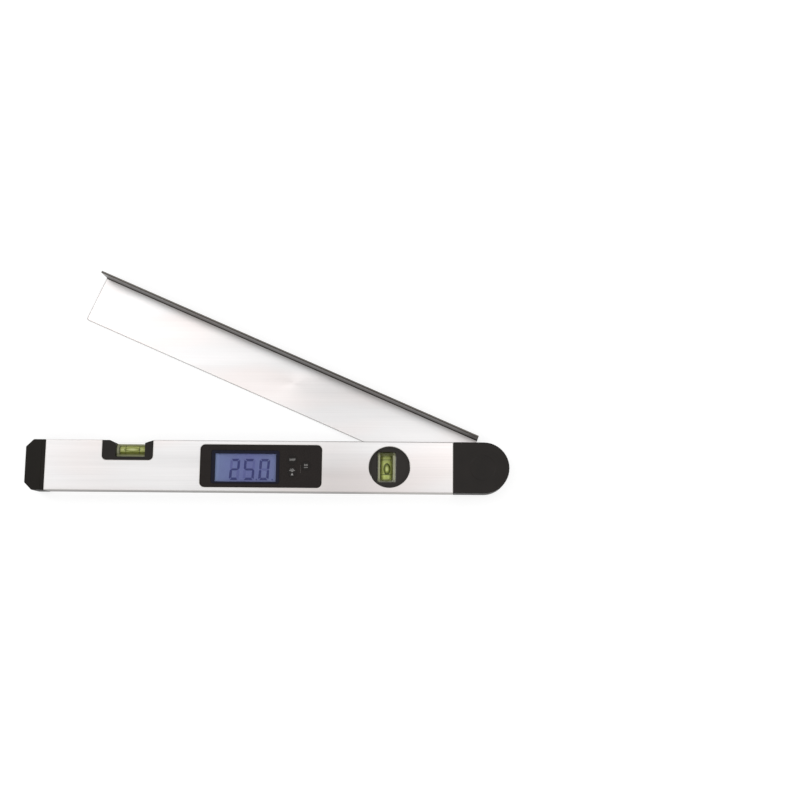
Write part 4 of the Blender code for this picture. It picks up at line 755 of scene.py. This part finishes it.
def build_round_vial(ring_look, olive):
    """The plumb vial in the round insert."""
    low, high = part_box("round_vial")
    centre = box_middle("round_vial")
    # Across the vial: painted highlight strips near both long sides, with painted shade at the far left
    sides = (
        "X", low[0], high[0],
        (
            (0.0, srgb(50, 48, 33)), (0.05, srgb(50, 48, 33)), (0.08, srgb(150, 152, 112)),
            (0.13, srgb(158, 160, 122)), (0.16, srgb(96, 98, 52)), (0.2, olive), (0.8, olive),
            (0.84, srgb(100, 102, 56)), (0.88, srgb(146, 148, 112)), (0.95, srgb(160, 162, 126)),
            (1.0, srgb(100, 100, 76)),
        ),
        (
            (0.0, 0.85), (0.05, 0.85), (0.08, 0.7), (0.13, 0.7), (0.16, 0.7), (0.2, 0.05),
            (0.8, 0.05), (0.84, 0.6), (0.88, 0.7), (0.95, 0.7), (1.0, 0.7),
        ),
    )
    # Along the vial: painted shade at both ends
    ends = (
        "Y", low[1], high[1],
        (
            (0.0, srgb(52, 52, 30)), (0.07, srgb(80, 80, 52)), (0.1, olive), (0.86, olive),
            (0.96, srgb(44, 44, 22)), (1.0, srgb(44, 44, 22)),
        ),
        ((0.0, 0.85), (0.08, 0.5), (0.12, 0.0), (0.84, 0.0), (0.94, 0.6), (1.0, 0.85)),
    )
    paint("round_vial", clear_acrylic("round_vial_acrylic", (sides, ends)))
    paint("round_vial_plug", bpy.data.materials["vial_stopper"])
    # Painted light across the spirit: brightest left of the middle, darker at both sides
    band = (
        (0.0, srgb(112, 116, 56)), (0.1, srgb(160, 168, 90)), (0.3, srgb(196, 206, 122)),
        (0.5, srgb(176, 186, 102)), (0.68, srgb(180, 190, 110)), (0.86, srgb(150, 158, 86)),
        (1.0, srgb(96, 100, 48)),
    )
    # Painted light and shade along the spirit, darker towards its high-Y end
    length = (
        (0.0, 0.8), (0.07, 1.0), (0.22, 1.0), (0.3, 0.82), (0.62, 0.88), (0.76, 0.72), (0.86, 0.66),
        (0.94, 0.4), (1.0, 0.22),
    )
    half = 0.0122
    liquid = tinted_liquid("round_vial_liquid", band, length, "X", "Y", (0.006, half))
    vial_set("round_vial", centre, "Y", 0.00575, half, 0.0, (-0.0065, 0.007), liquid, ring_look)
    # Painted highlight in the bubble's middle and painted shade at its outline
    stops = (
        (0.0, srgb(206, 214, 146)), (0.3, srgb(192, 200, 126)), (0.5, srgb(130, 140, 56)),
        (0.78, srgb(60, 68, 14)), (1.0, srgb(78, 84, 26)),
    )
    half_x, half_y = 0.0032, 0.0055
    look = bubble_look("round_vial_bubble", half_x, half_y, stops)
    add_bubble("round_vial_bubble", centre, "Y", 0.00603, (0.0005, -0.0014), half_x, half_y, look)


# Screws with a cross recess, for the ones that show
SHANK_RADII = {"door": 0.0008, "cover": 0.0011, "arm": 0.00125}
SCREW_STEPS = 36
RECESS_TURN = 0.4
RECESS_OVERRUN = 0.0005


def countersunk_screw(name, body):
    """A countersunk head with a cross recess that takes the place of a CAD screw."""
    low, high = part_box(name)
    x, y = (low[0] + high[0]) / 2, (low[1] + high[1]) / 2
    head = (high[0] - low[0]) / 2
    length = high[2] - low[2]
    shank = SHANK_RADII[name.split("_")[0]]
    sink = head - shank
    mesh = bmesh.new()
    profile = [
        (0, 0), (head * 0.5, 0), (head * 0.9, 0.00004), (head, 0.00012), (shank, sink), (shank, length),
        (0, length),
    ]
    add_turned(mesh, profile, SCREW_STEPS)
    look = bpy.data.materials["zinc_screw"]
    made = add_piece(f"{name}_detail", mesh, look, None, (x, y, low[2]))
    half_w, half_l = head * 0.13, head * 0.62
    outline = [(-half_l, -half_w), (half_l, -half_w), (half_l, half_w), (-half_l, half_w)]
    cutters = []
    for number, angle in enumerate((RECESS_TURN, RECESS_TURN + math.pi / 2)):
        slot = bmesh.new()
        add_slab(slot, outline, -RECESS_OVERRUN, sink * 0.55)
        bmesh.ops.recalc_face_normals(slot, faces=slot.faces)
        data = bpy.data.meshes.new(f"{name}_slot_{number}")
        slot.to_mesh(data)
        slot.free()
        cutter = bpy.data.objects.new(data.name, data)
        bpy.context.scene.collection.objects.link(cutter)
        cutter.location = (x, y, low[2])
        cutter.rotation_euler = (0, 0, angle)
        cutters.append(cutter)
    bpy.context.view_layer.update()
    for cutter in cutters:
        cut_out(made, cutter)
    apply_modifiers(made)
    for cutter in cutters:
        bpy.data.objects.remove(cutter, do_unlink=True)
    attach(made, body)
    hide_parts(name)


# Everything else keeps its CAD shape
def paint_all():
    alu_light, alu_dark = (0.95, 0.935, 0.93), (0.88, 0.865, 0.86)
    # Painted sheen and shade along the body's length
    body_sheen_and_shade = (
        (0.0, 0.965), (0.15, 0.955), (0.3, 1.0), (0.46, 0.94), (0.6, 0.87), (0.66, 0.835), (0.72, 0.86),
        (0.84, 0.95), (0.92, 1.0),
    )
    # Painted shade across the body, darker towards its low-Y side
    body_shade_across = (-0.023, 0.023, ((0.0, 0.9), (0.5, 0.95), (1.0, 1.0)))
    # Painted shade on the body's upright sides, darkest over most of its length
    body_side_shade = (
        (0.0, (0.11, 0.1, 0.09)), (0.7, (0.12, 0.11, 0.1)), (0.78, (0.27, 0.25, 0.23)),
        (1.0, (0.3, 0.28, 0.26)),
    )
    # Painted shade along the body's edges
    body_rim_shade = ((0.0, (0.66, 0.63, 0.6)), (0.96, (0.62, 0.6, 0.57)), (1.0, (0.5, 0.48, 0.46)))
    body_look = brushed_aluminium(
        "body_aluminium", 0, alu_light, alu_dark, body_sheen_and_shade, body_shade_across, body_side_shade, body_rim_shade,
    )
    arm_light, arm_dark = (0.98, 0.965, 0.96), (0.93, 0.915, 0.91)
    # Painted sheen and shade along the arm's length
    arm_sheen_and_shade = (
        (0.0, 0.95), (0.3, 0.955), (0.44, 0.98), (0.59, 0.9), (0.72, 0.92), (0.85, 0.925), (1.0, 0.93),
    )
    # Painted shade on the flange, a little lighter towards its outer edge
    flange_shade = (
        (0.905, (0.065, 0.06, 0.052)), (0.945, (0.07, 0.064, 0.056)), (0.965, (0.15, 0.14, 0.13)),
        (1.0, (0.22, 0.21, 0.195)),
    )
    # Painted shadow on the plate beside the flange, then the flange's painted shade
    arm_shade_across = (0.0, 0.0255, ((0.0, 1.0), (0.6, 0.97), (0.89, 0.74), *flange_shade))
    # Painted shade on the arm's upright sides
    arm_side_shade = ((0.0, (0.06, 0.054, 0.047)), (1.0, (0.07, 0.063, 0.055)))
    # Painted shade along the edges of the plate and the flange
    plate_rim_shade = (0.2, 0.19, 0.185)
    arm_rim_shade = ((0.0, plate_rim_shade), (0.8, plate_rim_shade), (0.895, (0.3, 0.28, 0.26)), *flange_shade)
    arm_look = brushed_aluminium(
        "arm_aluminium", REST_ANGLE, arm_light, arm_dark, arm_sheen_and_shade, arm_shade_across, arm_side_shade, arm_rim_shade, 0.3,
    )
    matte = moulded_plastic("black_moulded", (0.0135, 0.0112, 0.0092))
    end_look = moulded_plastic("black_end_cap", (0.0095, 0.0078, 0.0056), 0.5, 2600, 0.25, 0.003, 0.15)
    insert_look = moulded_plastic("black_insert", (0.0205, 0.0172, 0.0145), 0.5, 2600, 0.25, 0.004, 0.25)
    cover = moulded_plastic("black_cover", (0.0145, 0.0118, 0.0102), 0.45, 3000, 0.15)
    gloss = gloss_plastic("black_gloss_panel", (0.0135, 0.0098, 0.0085), 0.22, 0.18)
    key = gloss_plastic("black_key", (0.011, 0.0088, 0.0078), 0.26, 0.18)
    steel = turned_metal("zinc_plate", (0.66, 0.66, 0.67), (0.5, 0.5, 0.51))
    turned_metal("zinc_screw", (0.62, 0.62, 0.62), (0.44, 0.44, 0.45), 0.28, 2600)
    spring = turned_metal("spring_steel", (0.42, 0.42, 0.44), (0.3, 0.3, 0.32), 0.36)
    brass = turned_metal("contact_brass", (0.74, 0.58, 0.3), (0.6, 0.45, 0.2))
    bronze = turned_metal("bush_bronze", (0.58, 0.38, 0.2), (0.36, 0.23, 0.11), 0.42, 2400)
    board = board_laminate("board_laminate")
    white = moulded_plastic("backlight_white", (0.82, 0.83, 0.84), 0.4, 1500, 0.1, 0.0)
    sheath = moulded_plastic("cable_sheath", srgb(120, 120, 122), 0.5, 1200, 0.2)
    film = battery_film("battery_film")
    looks = {
        "body_extrusion": body_look, "arm": arm_look, "end_cap": end_look, "hinge_cover": cover,
        "display_panel": gloss, "key_power": key, "key_light": key, "key_zero": key,
        "display_lens": lens_plastic("lens_clear"),
        "top_vial_holder": matte, "round_vial_holder": insert_look, "hinge_housing": matte,
        "battery_frame": matte, "battery_door": matte, "lcd_backlight": white,
        "display_board": board, "encoder_board": board, "encoder_rotor": board,
        "battery_1": film, "battery_2": film,
        "contact_bridge": brass, "contact_plus": brass, "contact_minus": brass,
        "pivot_bush": bronze, "wave_washer": spring, "rotor_clip": spring, "encoder_cable": sheath,
        "pivot_spindle": steel, "flat_washer": steel, "pivot_nut": steel,
        "switch_power": steel, "switch_light": steel, "switch_zero": steel,
    }
    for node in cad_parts:
        if node in looks:
            paint(node, looks[node])
        elif "screw" in node:
            paint(node, steel)


# Stage
FLOOR_SIZE = 6
FLOOR_DROP = 0.0002
FLOOR_GLOW = 0.7
WORLD_LIGHT = 0.76
SENSOR_WIDTH = 36
PHOTO_FOCAL, PHOTO_WIDTH = 1199.924, 800
CAMERA_PLACE = (-0.0524965, -0.1064664, 1.1086272)
CAMERA_TURN = (8.8134, 1.1364, 0.5617)


def build_stage():
    """A pale floor, white to the camera, that keeps the object's shadow."""
    mesh = bmesh.new()
    bmesh.ops.create_grid(mesh, x_segments=2, y_segments=2, size=FLOOR_SIZE)
    made, tree, shader = new_material("studio_floor")
    shader.inputs["Base Color"].default_value = (0.4, 0.4, 0.4, 1)
    shader.inputs["Roughness"].default_value = 0.9
    shader.inputs["Specular IOR Level"].default_value = 0.0
    rays = add_node(tree, "ShaderNodeLightPath")
    either = add_node(tree, "ShaderNodeMath", operation="MAXIMUM")
    any_ray = add_node(tree, "ShaderNodeMath", operation="MAXIMUM")
    tree.links.new(rays.outputs["Is Camera Ray"], either.inputs[0])
    tree.links.new(rays.outputs["Is Glossy Ray"], either.inputs[1])
    tree.links.new(either.outputs[0], any_ray.inputs[0])
    tree.links.new(rays.outputs["Is Transmission Ray"], any_ray.inputs[1])
    scaled = add_node(tree, "ShaderNodeMath", operation="MULTIPLY")
    scaled.inputs[1].default_value = FLOOR_GLOW
    tree.links.new(any_ray.outputs[0], scaled.inputs[0])
    glow = add_node(tree, "ShaderNodeEmission")
    glow.inputs["Color"].default_value = (1, 1, 1, 1)
    tree.links.new(scaled.outputs[0], glow.inputs["Strength"])
    total = add_node(tree, "ShaderNodeAddShader")
    tree.links.new(shader.outputs["BSDF"], total.inputs[0])
    tree.links.new(glow.outputs["Emission"], total.inputs[1])
    output = tree.nodes["Material Output"]
    tree.links.new(total.outputs["Shader"], output.inputs["Surface"])
    floor = add_piece("studio_floor", mesh, made, None, (0, 0, -FLOOR_DROP), smooth=False)
    world = bpy.data.worlds.new("studio")
    bpy.context.scene.world = world
    world.use_nodes = True
    back = world.node_tree.nodes["Background"]
    back.inputs["Color"].default_value = (1, 1, 1, 1)
    rays = add_node(world.node_tree, "ShaderNodeLightPath")
    amount = spread(world.node_tree, rays.outputs["Is Camera Ray"], WORLD_LIGHT, 1.0)
    world.node_tree.links.new(amount, back.inputs["Strength"])


def add_lamp(name, place, target, size, power):
    data = bpy.data.lights.new(name, "AREA")
    data.shape = "RECTANGLE"
    data.size, data.size_y = size
    data.energy = power
    made = bpy.data.objects.new(name, data)
    bpy.context.scene.collection.objects.link(made)
    made.location = place
    made.rotation_euler = (Vector(target) - Vector(place)).to_track_quat("-Z", "Y").to_euler()


def build_lights():
    add_lamp("key_light", (-1.7, 1.0, 1.6), (-0.2, 0.05, 0), (1.4, 1.4), 8)
    add_lamp("fill_light", (1.2, -0.9, 1.5), (-0.1, 0.05, 0), (1.4, 1.4), 8)
    add_lamp("left_sheen", (-1.05, 0.6, 1.5), (-0.3, 0.05, 0), (1.0, 0.9), 1.3)
    add_lamp("arm_sheen", (-0.52, 0.5, 1.5), (-0.25, 0.1, 0), (0.5, 0.4), 0.3)
    add_lamp("right_sheen", (0.06, 0.12, 1.5), (-0.03, 0, 0), (0.4, 0.4), 0.55)


def build_camera():
    data = bpy.data.cameras.new("photo_camera")
    data.sensor_width = SENSOR_WIDTH
    data.lens = SENSOR_WIDTH * PHOTO_FOCAL / PHOTO_WIDTH
    made = bpy.data.objects.new("photo_camera", data)
    bpy.context.scene.collection.objects.link(made)
    made.location = CAMERA_PLACE
    made.rotation_euler = tuple(math.radians(angle) for angle in CAMERA_TURN)
    bpy.context.scene.camera = made


bpy.context.scene.view_settings.view_transform = "Standard"
build_camera()
paint_all()
build_display()
build_key_marks()
build_vials()
for screw in ("door_screw", "cover_screw_1", "cover_screw_2", "cover_screw_3", "cover_screw_4"):
    countersunk_screw(screw, "body")
for screw in ("arm_screw_1", "arm_screw_2", "arm_screw_3"):
    countersunk_screw(screw, ARM_BODY)
build_stage()
build_lights()
